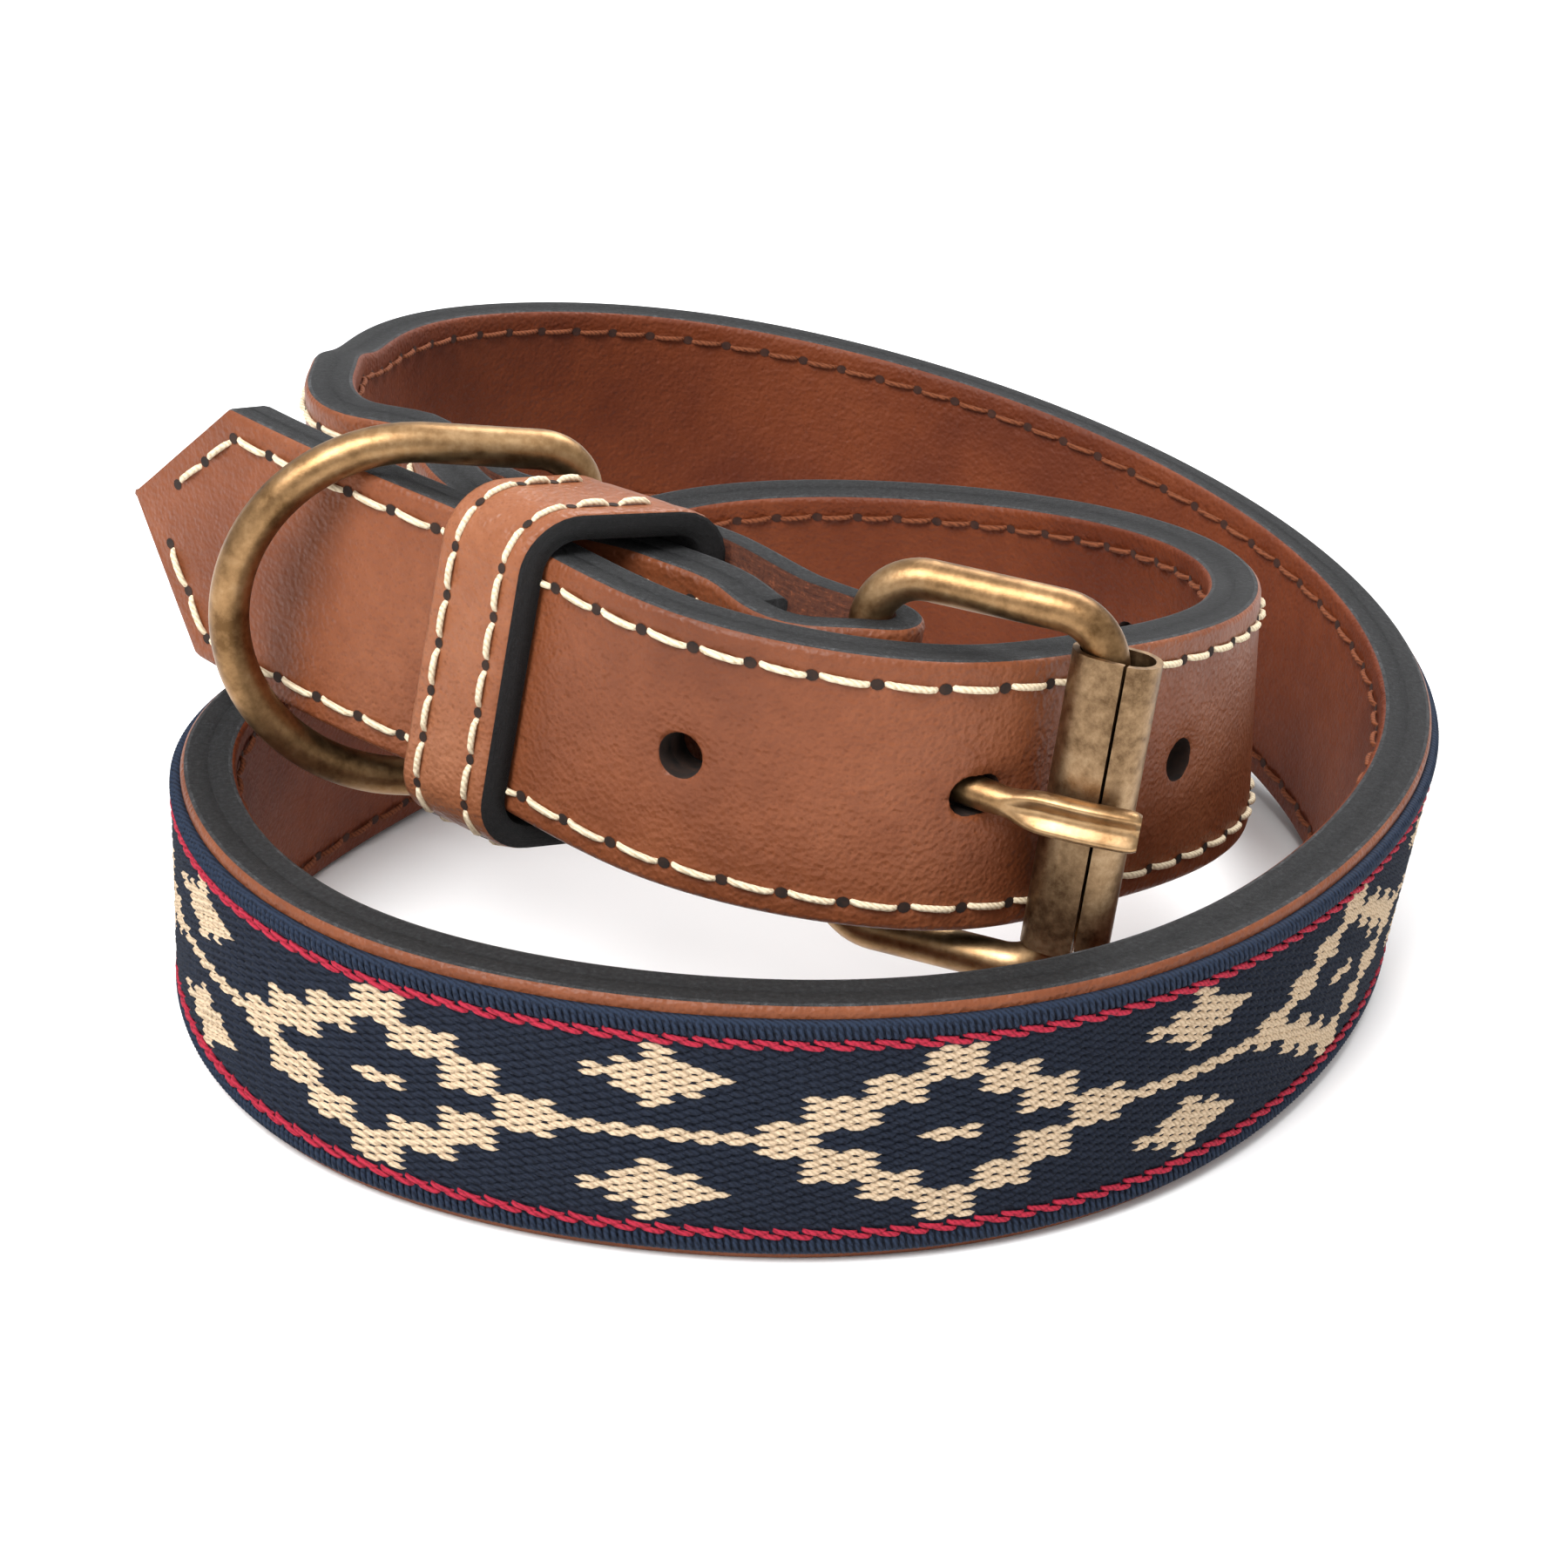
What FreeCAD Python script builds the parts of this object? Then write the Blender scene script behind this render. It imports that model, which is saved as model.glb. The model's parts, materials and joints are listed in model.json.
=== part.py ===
import FreeCAD, Part
import math
import os

# Roller-buckle dog collar, fastened and coiled into a double loop on a flat surface.
# Millimetres, +Z up, +Y away from the buckle side. The origin is on the surface that the
# collar stands on, under the middle of its footprint.

Vec = FreeCAD.Vector

# ---- leather -------------------------------------------------------------------------
STRAP_WIDTH = 25.0
PLY = 2.6                    # thickness of each of the two plies
GLUE = 0.05                  # glue line between one layer and the next
GRID = 4.0                   # every layer is drawn through places this far apart
RUN = 10                     # places in each run of a layer's faces
FACE_START = 6.0             # where the fold ends and the strap's face starts
SINK = 0.12                  # the lowest part of the strap is cut flat by this much
HOLE_RADIUS = 2.0
HOLE_PITCH, LAST_HOLE = 26.3, 709.5
HOLES = 5
HOLE_AT = [LAST_HOLE - HOLE_PITCH * i for i in range(HOLES)]      # distances along the strap
TIP_AT = 766.0               # where the point of the tip starts
TIP_LENGTH = 12.0
LINING_START = 14.0          # the lining stops short of the fold round the buckle's bar

# ---- woven band and threads ------------------------------------------------------------
BAND_START, BAND_END = 118.0, 566.0
BAND_WIDTH = 22.4
BAND_THICK = 0.9
THREAD = 0.7                 # width of a thread on the surface
THREAD_PROUD = 0.35
LINING_THREAD_PROUD = 0.18   # the two ends of the strap nearly touch where they lie together
KEEPER_THREAD_LIFT = 0.15
ROW_INSET = 2.4              # from the strap's edge to the middle of a stitch row

# ---- metal -------------------------------------------------------------------------------
WIRE_RADIUS = 1.85           # buckle frame and D-ring
BAR_AT = 3.2                 # distance along the strap of the buckle's bar
BAR_DROP = 0.2               # the buckle hangs this much below the middle of the fold
BAR_PLAY = 0.4               # from the bar to the leather round it
FRAME_LENGTH = 21.3          # bar axis to roller axis
FRAME_HALF_HEIGHT = 16.6     # middle of the frame to the axis of a side arm
FRAME_CORNER = 4.8
FRAME_UP = (0.085, 0.065, 1.0)
ROLLER_MIDDLE = (25.4, -53.05, 36.3)
ROLLER_LENGTH = 27.6
ROLLER_WALL = 0.6
ROLLER_PLAY = 0.2
ROLLER_LEFT, ROLLER_RIGHT = 2.8, 3.9     # its hollow, to each side of the wire's axis
ROLLER_TURN = 6.0            # degrees that the roller's outer side is turned outwards
SEAM = 0.3
PRONG_RADIUS = 1.45
PRONG_EYE_WALL = 1.4
PRONG_EYE_HEIGHT = 4.0
PRONG_PLAY = 0.08
PRONG_CLEARANCE = 0.4        # round the prong, in the leather
PRONG_SWINGS = [0.0, 3.0, 6.0]       # degrees
GROOVE_LENGTH = 5.0
GROOVE_HALF_WIDTH = 1.15
# Middle line of the prong's shank: along the buckle from its bar, and out from its frame.
PRONG_LINE = [(2.0, 2.0), (6, 2.3), (10, 2.9), (13.6, 3.8), (17, 4.6), (20, 4.85), (23, 4.8),
              (27, 4.3)]
SLOT_RADIUS = 3.8            # slot in the fold, round the prong's eye
SLOT_HEIGHT = 5.2
SLOT_OUTLINE = [(-1, -3.8), (6, -3.8), (6, 5.0), (-1, 5.0)]
RING_STRAIGHT = 14.5         # straight part of each of the D-ring's arms
RING_RADIUS = 16.8           # round part of the D-ring, to the wire's axis
RING_CORNER = 4.5
RING_AT = 39.5               # distance along the strap
RING_PLAY = 0.9
RING_LIFT = 0.6              # middle of the ring above the middle of the strap
RING_OUT = (-0.97, -0.224, 0.10)
RING_UP = (0.09, 0.0, 0.995)

# ---- keeper -------------------------------------------------------------------------------
KEEPER_FROM, KEEPER_TO = 726.6, 736.8    # distances along the strap of its two edges
KEEPER_SKEW = 5.8            # its back is this much nearer to the buckle than its front
KEEPER_THICK = 2.4
KEEPER_CORNER = 5.5
KEEPER_HALF_HEIGHT = 16.4    # outside
KEEPER_DEPTH = 19.5          # roughly, from its front to its back
KEEPER_FLAP = 10.0           # reach of the two ends tucked in behind the strap
KEEPER_GAP = 0.5
KEEPER_BACK_GAP = 1.0
KEEPER_ROW_SHARE = 0.21      # place of a stitch row across the keeper's width

# Poles of the smooth line that the strap's lower edge follows, from the fold at the buckle
# round both turns to the tip: x, y and height above the surface.
LAY = [
    (7.6, -49, 24.5), (2.1, -49.5, 24.5), (-0.9, -50, 24.5), (-4.9, -46.5, 24.5),
    (-7.4, -41.5, 25), (-12.9, -38.5, 25.5), (-15.9, -35.5, 25.5), (-27.9, -32, 26),
    (-36.4, -16.5, 26), (-36.4, -7.5, 26.5), (-45.9, -6, 26), (-49.4, 3, 25.5),
    (-49.9, 12, 24.5), (-50.9, 20, 23), (-49.9, 26, 21), (-48.4, 54, 18),
    (-17.4, 75.5, 14), (23.6, 64, 9), (53.6, 36.5, 3.5), (63.6, 1.5, 0),
    (54.1, -31.5, 0), (33.1, -61.5, 0), (0.6, -74, 0), (-39.9, -66, 0),
    (-56.9, -37.5, 0), (-57.4, -12.5, 0), (-32.9, 21.5, 1), (-14.4, 42.5, 3.5),
    (24.6, 34, 7), (44.6, 8.5, 11.5), (42.6, -23.5, 16.5), (22.6, -44.5, 21),
    (11.1, -57.5, 24.5), (-13.4, -53, 25.5), (-28.9, -35.5, 27.5), (-45.1, -29.7, 29.4),
    (-64.4, -10.7, 31),
]
# How far the strap's top edge leans outwards: distance along the strap, degrees.
LEAN = [(0, -4), (70, 1), (160, 1), (250, 10), (320, 4), (390, 0), (450, 0),
        (530, -7), (610, -5), (670, -2), (760, -8)]
# The turned-back end of the outer ply, from its end to the fold: distance along the strap,
# and depth of its middle behind the middle of the strap.
FOLD_END, FOLD_FLAT = 60, 52
FOLD_DEPTH = 4.05
TURN_BACK = [(FOLD_END, FOLD_DEPTH), (58, FOLD_DEPTH), (55, FOLD_DEPTH), (FOLD_FLAT, 4.2),
             (49, 5.1), (45, 7.2), (39.5, 9.9), (30, 8.6), (24, 7.9), (17, 7.3)]
FOLD_TURNS = range(150, -1, -15)     # degrees round the bar


# ---- the strap's line ----------------------------------------------------------------------
def smooth_value(knots, at):
    """Cubic through (place, value) knots, level at both ends and wherever it turns."""
    if at <= knots[0][0]:
        return knots[0][1]
    if at >= knots[-1][0]:
        return knots[-1][1]
    slopes = [0.0]
    for a, b, c in zip(knots, knots[1:], knots[2:]):
        turns = (b[1] - a[1]) * (c[1] - b[1]) <= 0
        slopes.append(0.0 if turns else (c[1] - a[1]) / (c[0] - a[0]))
    slopes.append(0.0)
    i = max(k for k in range(len(knots) - 1) if knots[k][0] <= at)
    (a, low), (b, high) = knots[i], knots[i + 1]
    t = (at - a) / (b - a)
    return ((2 * t ** 3 - 3 * t ** 2 + 1) * low + (t ** 3 - 2 * t ** 2 + t) * (b - a) * slopes[i]
            + (3 * t ** 2 - 2 * t ** 3) * high + (t ** 3 - t ** 2) * (b - a) * slopes[i + 1])


lay_curve = Part.BSplineCurve()
lay_curve.buildFromPoles([Vec(*pole) for pole in LAY], False, 3)
STEPS = 4000
lay_points = [lay_curve.value(i / STEPS) for i in range(STEPS + 1)]
lay_distance = [0.0]
for here, there in zip(lay_points, lay_points[1:]):
    lay_distance.append(lay_distance[-1] + here.distanceToPoint(there))


def parameter_at(distance):
    low, high = 0, STEPS
    while high - low > 1:
        middle = (low + high) // 2
        if lay_distance[middle] <= distance:
            low = middle
        else:
            high = middle
    span = lay_distance[high] - lay_distance[low]
    return (low + (distance - lay_distance[low]) / span) / STEPS


class Station:
    """One place on the strap: its middle, and the directions along, out and up there."""

    def __init__(self, distance):
        self.distance = distance
        u = parameter_at(distance)
        self.along = lay_curve.tangent(u)[0]
        level_out = Vec(-self.along.y, self.along.x, 0).normalize()
        square_up = self.along.cross(level_out)
        if square_up.z < 0:
            square_up = square_up * -1
        lean = math.radians(smooth_value(LEAN, distance))
        self.up = square_up * math.cos(lean) + level_out * math.sin(lean)
        self.out = level_out * math.cos(lean) - square_up * math.sin(lean)
        foot = STRAP_WIDTH / 2 * math.cos(lean) + PLY * abs(math.sin(lean)) - SINK
        self.middle = lay_curve.value(u) + Vec(0, 0, foot)

    def point(self, out=0.0, up=0.0, along=0.0):
        return self.middle + self.out * out + self.up * up + self.along * along


def stations(start, end):
    count = round((end - start) / GRID)
    return [Station(start + (end - start) * i / count) for i in range(count + 1)]


# ---- ribbons ---------------------------------------------------------------------------------
def smooth_edges(points, knots):
    """A smooth line through points, as one edge for each run of a few points."""
    curve = Part.BSplineCurve()
    curve.interpolate(Points=points, Parameters=knots)
    marks = knots[:1] + knots[RUN:-RUN // 2:RUN] + knots[-1:]
    return [curve.toShape(low, high) for low, high in zip(marks, marks[1:])]


def solid_between(rails):
    """Solid bounded by four rails in turn, with flat ends."""
    middles = [(a + b + c + d) / 4 for a, b, c, d in zip(*rails)]
    knots = [0.0]
    for here, there in zip(middles, middles[1:]):
        knots.append(knots[-1] + here.distanceToPoint(there))
    lines = [smooth_edges(rail, knots) for rail in rails]
    faces = []
    for near, far in zip(lines, lines[1:] + lines[:1]):
        faces += [Part.makeRuledSurface(a, b, 1) for a, b in zip(near, far)]
    for end in (0, -1):
        corners = [rail[end] for rail in rails]
        faces.append(Part.Face(Part.makePolygon(corners + corners[:1])))
    solid = Part.Solid(Part.Shell(faces))
    if solid.Volume < 0:
        solid.reverse()
    return solid


def ribbon(start, end, inner, outer, low, high):
    """A layer of the strap: from inner to outer across its thickness, low to high up it."""
    places = stations(start, end)
    corners = [(inner, low), (outer, low), (outer, high), (inner, high)]
    return solid_between([[place.point(out, up) for place in places] for out, up in corners])


def thread_rows(start, end, inner, outer):
    """Two rows of thread, one along each edge of the strap."""
    middle = STRAP_WIDTH / 2 - ROW_INSET
    half = THREAD / 2
    return [ribbon(start, end, inner, outer, side * middle - half, side * middle + half)
            for side in (1, -1)]


# ---- leather ------------------------------------------------------------------------------------
def tip_trimmer():
    """The two wedges beyond the strap's pointed tip."""
    place = Station(TIP_AT)
    half, beyond = STRAP_WIDTH / 2, STRAP_WIDTH
    outline = [(0, half), (TIP_LENGTH, 0), (beyond, 0), (beyond, beyond), (0, beyond)]
    wedges = []
    for side in (1, -1):
        corners = [place.point(-3 * PLY, side * up, along) for along, up in outline]
        face = Part.Face(Part.makePolygon(corners + corners[:1]))
        wedges.append(face.extrude(place.out * 6 * PLY))
    return wedges


def ground():
    """Everything below the surface that the collar stands on."""
    reach = 2 * max(abs(value) for pole in LAY for value in pole)
    return Part.makeBox(2 * reach, 2 * reach, reach, Vec(-reach, -reach, -reach))


def strap_holes():
    cuts = []
    for distance in HOLE_AT:
        place = Station(distance)
        start = place.point(-3 * PLY)
        cuts.append(Part.makeCylinder(HOLE_RADIUS, 6 * PLY, start, place.out))
    return cuts


bar_place = Station(BAR_AT)
bar_middle = bar_place.point(-(BAR_PLAY + WIRE_RADIUS), -BAR_DROP)
roller_middle = Vec(*ROLLER_MIDDLE)
frame_up = Vec(*FRAME_UP).normalize()
to_roller = roller_middle - bar_middle
frame_along = (to_roller - frame_up * to_roller.dot(frame_up)).normalize()
frame_out = frame_up.cross(frame_along).normalize()
if frame_out.y > 0:
    frame_out = frame_out * -1
FOLD_RADIUS = WIRE_RADIUS + BAR_PLAY + PLY / 2


def fold_sections():
    """The outer ply behind the strap and round the buckle's bar: (middle, side, up) places."""
    middles = []
    for distance, depth in TURN_BACK:
        place = Station(distance)
        middles.append((place.point(-depth), place.up))
    centre = bar_middle + frame_up * BAR_DROP
    bar_out = frame_up.cross(bar_place.along).normalize()
    bar_along = bar_out.cross(frame_up)
    for turn in FOLD_TURNS:
        angle = math.radians(turn)
        arm = bar_out * math.cos(angle) - bar_along * math.sin(angle)
        share = min(1, 0.5 + turn / 60)
        middles.append((centre + arm * FOLD_RADIUS, frame_up * share + bar_place.up * (1 - share)))
    line = Part.BSplineCurve()
    line.interpolate([middle for middle, up in middles])
    knots = [line.parameter(middle) for middle, up in middles]
    sections = []
    for (first, up), (last, next_up), low, high in zip(middles, middles[1:], knots, knots[1:]):
        for share in (0, 1 / 3, 2 / 3):
            u = low + (high - low) * share
            lift = (up * (1 - share) + next_up * share).normalize()
            side = lift.cross(line.tangent(u)[0]).normalize()
            sections.append((line.value(u), side, lift))
    return sections


def whole_outer_ply():
    """The outer ply in one piece: the fold, then the strap's face to the end of its tip."""
    half = STRAP_WIDTH / 2
    corners = [(-1, -1), (1, -1), (1, 1), (-1, 1)]
    rails = [[], [], [], []]
    for middle, side, up in fold_sections():
        for rail, (out, high) in zip(rails, corners):
            rail.append(middle + side * (out * PLY / 2) + up * (high * half))
    for place in stations(FACE_START, TIP_AT + TIP_LENGTH):
        for rail, (out, high) in zip(rails, corners):
            rail.append(place.point((out + 1) * PLY / 2, high * half))
    return solid_between(rails)


# ---- buckle ---------------------------------------------------------------------------------------
def in_frame(along=0.0, out=0.0, up=0.0):
    """A point by the buckle frame's own directions, from the middle of its bar."""
    return bar_middle + frame_along * along + frame_out * out + frame_up * up


def rounded_path(corners, radius, closed=True):
    """Straight runs between corners in one plane, joined by arcs of one radius."""
    edges = []
    count = len(corners)
    starts = []
    for i in range(count):
        before, here, after = corners[i - 1], corners[i], corners[(i + 1) % count]
        r = radius[i] if isinstance(radius, list) else radius
        a = (before - here).normalize()
        b = (after - here).normalize()
        half = a.getAngle(b) / 2
        back = r / math.tan(half)
        bisector = (a + b).normalize()
        middle = here + bisector * (r / math.sin(half) - r)
        starts.append((here + a * back, middle, here + b * back))
    for i in range(count):
        first, middle, last = starts[i]
        edges.append(Part.Arc(first, middle, last).toShape())
        following = starts[(i + 1) % count][0]
        if last.distanceToPoint(following) > 1e-6:
            edges.append(Part.LineSegment(last, following).toShape())
    return Part.Wire(Part.__sortEdges__(edges))


def wire_solid(path, start, direction, radius):
    circle = Part.Wire(Part.makeCircle(radius, start, direction))
    pipe = path.makePipeShell([circle], True, False)
    return Part.Solid(pipe) if pipe.ShapeType != "Solid" else pipe


def buckle_frame():
    length, half = FRAME_LENGTH, FRAME_HALF_HEIGHT
    corners = [in_frame(0, 0, -half), in_frame(length, 0, -half),
               in_frame(length, 0, half), in_frame(0, 0, half)]
    path = rounded_path(corners, FRAME_CORNER)
    start = path.Edges[0].Vertexes[0].Point
    first = path.Edges[0]
    direction = first.tangentAt(first.FirstParameter)
    return wire_solid(path, first.valueAt(first.FirstParameter), direction, WIRE_RADIUS)


def roller():
    """Rolled sheet, close round the wire on one side and open on the other, with a seam."""
    turn = math.radians(ROLLER_TURN)
    axis_x = frame_along * math.cos(turn) + frame_out * math.sin(turn)
    axis_y = frame_out * math.cos(turn) - frame_along * math.sin(turn)
    base = in_frame(FRAME_LENGTH, 0, -ROLLER_LENGTH / 2)
    inside = WIRE_RADIUS + ROLLER_PLAY
    left = inside - ROLLER_LEFT
    right = ROLLER_RIGHT - inside

    def spot(x, y):
        return base + axis_x * x + axis_y * y

    def oval(r):
        edges = [Part.LineSegment(spot(left, r), spot(right, r)).toShape(),
                 Part.Arc(spot(right, r), spot(right + r, 0), spot(right, -r)).toShape(),
                 Part.LineSegment(spot(right, -r), spot(left, -r)).toShape(),
                 Part.Arc(spot(left, -r), spot(left - r, 0), spot(left, r)).toShape()]
        return Part.Face(Part.Wire(edges)).extrude(frame_up * ROLLER_LENGTH)

    tube = oval(inside + ROLLER_WALL).cut(oval(inside))
    outline = [spot(right, inside / 2), spot(right + SEAM, inside / 2),
               spot(right + SEAM, inside + 2), spot(right, inside + 2)]
    slit = Part.Face(Part.makePolygon(outline + outline[:1])).extrude(frame_up * ROLLER_LENGTH)
    return tube.cut(slit)


def prong_slot():
    """Room for the prong's eye, and the slot in the fold that the prong comes out of."""
    low = in_frame(0, 0, -SLOT_HEIGHT / 2)
    room = Part.makeCylinder(SLOT_RADIUS, SLOT_HEIGHT, low, frame_up)
    outline = [in_frame(along, out, -SLOT_HEIGHT / 2) for along, out in SLOT_OUTLINE]
    face = Part.Face(Part.makePolygon(outline + outline[:1]))
    return room.fuse(face.extrude(frame_up * SLOT_HEIGHT))


def prong_line(lift=0.0):
    """Middle line of the prong's shank, swung outwards by some degrees."""
    turn = math.radians(lift)
    points = []
    for along, out in PRONG_LINE:
        points.append(in_frame(along * math.cos(turn) - out * math.sin(turn),
                               out * math.cos(turn) + along * math.sin(turn)))
    curve = Part.BSplineCurve()
    curve.interpolate(points)
    return curve


def shank(radius, lift=0.0):
    curve = prong_line(lift)
    start = curve.value(curve.FirstParameter)
    direction = curve.tangent(curve.FirstParameter)[0]
    return wire_solid(Part.Wire(curve.toShape()), start, direction, radius)


def prong():
    low = in_frame(0, 0, -PRONG_EYE_HEIGHT / 2)
    inside = WIRE_RADIUS + PRONG_PLAY
    eye = Part.makeCylinder(inside + PRONG_EYE_WALL, PRONG_EYE_HEIGHT, low, frame_up)
    bore = Part.makeCylinder(inside, PRONG_EYE_HEIGHT, low, frame_up)
    body = eye.fuse(shank(PRONG_RADIUS)).cut(bore)
    end_along, end_out = PRONG_LINE[-1]
    lip = GROOVE_HALF_WIDTH
    outline = [in_frame(end_along - GROOVE_LENGTH, end_out + PRONG_RADIUS, -lip / 4),
               in_frame(end_along - GROOVE_LENGTH, end_out + PRONG_RADIUS, lip / 4),
               in_frame(end_along - GROOVE_LENGTH, end_out + PRONG_RADIUS / 3, 0)]
    wide = [in_frame(end_along + 1, end_out + PRONG_RADIUS, -lip),
            in_frame(end_along + 1, end_out + PRONG_RADIUS, lip),
            in_frame(end_along + 1, end_out - PRONG_RADIUS / 4, 0)]
    groove = Part.makeLoft([Part.makePolygon(outline + outline[:1]),
                            Part.makePolygon(wide + wide[:1])], True, True)
    return body.cut(groove)


# ---- keeper and D-ring ---------------------------------------------------------------------------
def strap_behind(place):
    """Middle of the buckle end of the strap, straight behind a place on its other end."""
    best = min((abs((Station(s).middle - place.middle).dot(place.along)), s)
               for s in range(16, 60))
    return Station(best[1])


def keeper_outline(distance):
    """One edge of the keeper, all round, at a distance along the strap."""
    place = Station(distance)
    behind = strap_behind(Station(distance - KEEPER_SKEW))
    drop = (behind.middle - place.middle).dot(place.up) / 2
    front = PLY + KEEPER_GAP + KEEPER_THICK
    half = KEEPER_HALF_HEIGHT

    def spot(out, up):
        skew = (front - out) / KEEPER_DEPTH * KEEPER_SKEW
        return place.point(out, up + drop, -skew)

    def half_run(inset, side):
        """From the front's middle to the tucked-in end, on one side."""
        strap_middle = behind.point(-PLY, side * (half - KEEPER_FLAP / 2)) - place.middle
        back = strap_middle.dot(place.out) - KEEPER_BACK_GAP - KEEPER_THICK
        f, b, h, r = front - inset, back + inset, half - inset, KEEPER_CORNER - inset
        slant = r * math.sqrt(0.5)
        points = [(f, h - r), (f - r + slant, h - r + slant), (f - r, h),
                  (b + r, h), (b + r - slant, h - r + slant), (b, h - r), (b, half - KEEPER_FLAP)]
        return [spot(out, side * up) for out, up in points]

    def run_edges(p):
        return [Part.Arc(p[0], p[1], p[2]).toShape(), Part.LineSegment(p[2], p[3]).toShape(),
                Part.Arc(p[3], p[4], p[5]).toShape(), Part.LineSegment(p[5], p[6]).toShape()]

    out_high, out_low = half_run(0, 1), half_run(0, -1)
    in_high, in_low = half_run(KEEPER_THICK, 1), half_run(KEEPER_THICK, -1)
    edges = [Part.LineSegment(out_low[0], out_high[0]).toShape()] + run_edges(out_high)
    edges.append(Part.LineSegment(out_high[6], in_high[6]).toShape())
    edges += run_edges(in_high)
    edges.append(Part.LineSegment(in_high[0], in_low[0]).toShape())
    edges += run_edges(in_low)
    edges.append(Part.LineSegment(in_low[6], out_low[6]).toShape())
    edges += run_edges(out_low)
    return Part.Wire(Part.__sortEdges__(edges))


def keeper():
    """The keeper: a flat strip round both straps, its ends tucked in behind."""
    outlines = [keeper_outline(KEEPER_FROM), keeper_outline(KEEPER_TO)]
    return Part.makeLoft(outlines, True, True)


def keeper_threads():
    """A row of thread along each edge of the keeper's front."""
    rows = []
    for share in (KEEPER_ROW_SHARE, 1 - KEEPER_ROW_SHARE):
        distance = KEEPER_FROM + (KEEPER_TO - KEEPER_FROM) * share
        first, last = Station(KEEPER_FROM), Station(KEEPER_TO)
        front = PLY + KEEPER_GAP + KEEPER_THICK + KEEPER_THREAD_LIFT
        half = KEEPER_HALF_HEIGHT - KEEPER_CORNER
        drops = []
        for end in (first, last):
            behind = strap_behind(Station(end.distance - KEEPER_SKEW))
            drops.append((behind.middle - end.middle).dot(end.up) / 2)
        corners = []
        for side in (-1, 1):
            a = first.point(front, side * half + drops[0])
            b = last.point(front, side * half + drops[1])
            corners.append(a + (b - a) * share)
        run = (corners[1] - corners[0]).normalize()
        out = first.out * (1 - share) + last.out * share
        across = run.cross(out).normalize()
        out = across.cross(run).normalize()
        outline = [corners[0] - across * (THREAD / 2), corners[0] + across * (THREAD / 2),
                   corners[1] + across * (THREAD / 2), corners[1] - across * (THREAD / 2)]
        face = Part.Face(Part.makePolygon(outline + outline[:1]))
        rows.append(face.extrude(out * THREAD_PROUD))
    return rows


ring_up = Vec(*RING_UP).normalize()
ring_out = Vec(*RING_OUT)
ring_out = (ring_out - ring_up * ring_out.dot(ring_up)).normalize()
ring_place = Station(RING_AT)
ring_middle = ring_place.point(-(PLY + RING_PLAY + WIRE_RADIUS), RING_LIFT)


def d_ring():
    """A straight bar and a round end, of one wire."""
    def spot(out, up):
        return ring_middle + ring_out * out + ring_up * up

    corner, radius, straight = RING_CORNER, RING_RADIUS, RING_STRAIGHT
    slant = corner * (1 - math.sqrt(0.5))
    edges = [Part.LineSegment(spot(0, corner - radius), spot(0, radius - corner)).toShape(),
             Part.Arc(spot(0, radius - corner), spot(slant, radius - slant),
                      spot(corner, radius)).toShape(),
             Part.LineSegment(spot(corner, radius), spot(straight, radius)).toShape(),
             Part.Arc(spot(straight, radius), spot(straight + radius, 0),
                      spot(straight, -radius)).toShape(),
             Part.LineSegment(spot(straight, -radius), spot(corner, -radius)).toShape(),
             Part.Arc(spot(corner, -radius), spot(slant, slant - radius),
                      spot(0, corner - radius)).toShape()]
    return wire_solid(Part.Wire(edges), spot(0, corner - radius), ring_up, WIRE_RADIUS)


# ---- assembly --------------------------------------------------------------------------------------
half_width = STRAP_WIDTH / 2
end_of_strap = TIP_AT + TIP_LENGTH
trim = tip_trimmer()
holes = strap_holes()
swings = [shank(PRONG_RADIUS + PRONG_CLEARANCE, lift) for lift in PRONG_SWINGS]
outer_strap = whole_outer_ply().cut([prong_slot(), ground()] + swings + trim + holes)
lining_strap = ribbon(LINING_START, end_of_strap, -PLY, -GLUE, -half_width, half_width)
lining_strap = lining_strap.cut([ground()] + trim + holes + swings)
face, back = PLY + GLUE, -PLY - GLUE
band_face = face + BAND_THICK
woven_band = ribbon(BAND_START, BAND_END, face, band_face, -BAND_WIDTH / 2, BAND_WIDTH / 2)

last_stitch = TIP_AT - GRID
billet_rows = thread_rows(BAND_END + GRID, last_stitch, face, PLY + THREAD_PROUD)
buckle_rows = thread_rows(LINING_START + GRID, BAND_START - GRID, face, PLY + THREAD_PROUD)
band_rows = thread_rows(BAND_START + GRID, BAND_END - GRID, band_face + GLUE,
                        band_face + THREAD_PROUD)
lining_rows = thread_rows(FOLD_END + 2, last_stitch, -PLY - LINING_THREAD_PROUD, back)
fold_back = -FOLD_DEPTH - PLY / 2 - 2 * GLUE
fold_rows = thread_rows(FOLD_FLAT + 2, FOLD_END - 2, fold_back - THREAD_PROUD, fold_back)
parts = {
    "outer_strap": outer_strap,
    "lining_strap": lining_strap,
    "woven_band": woven_band,
    "billet_stitching": Part.makeCompound(billet_rows),
    "buckle_end_stitching": Part.makeCompound(buckle_rows),
    "band_stitching": Part.makeCompound(band_rows),
    "lining_stitching": Part.makeCompound(lining_rows),
    "fold_stitching": Part.makeCompound(fold_rows),
    "keeper_loop": keeper(),
    "keeper_stitching": Part.makeCompound(keeper_threads()),
    "d_ring": d_ring(),
    "buckle_frame": buckle_frame(),
    "buckle_roller": roller(),
    "buckle_prong": prong(),
}

os.makedirs("parts", exist_ok=True)
for name, shape in parts.items():
    shape.exportStep(os.path.join("parts", name + ".step"))
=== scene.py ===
import json
import math

import bmesh
import bpy
import numpy as np
from mathutils import Matrix, Vector


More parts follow.
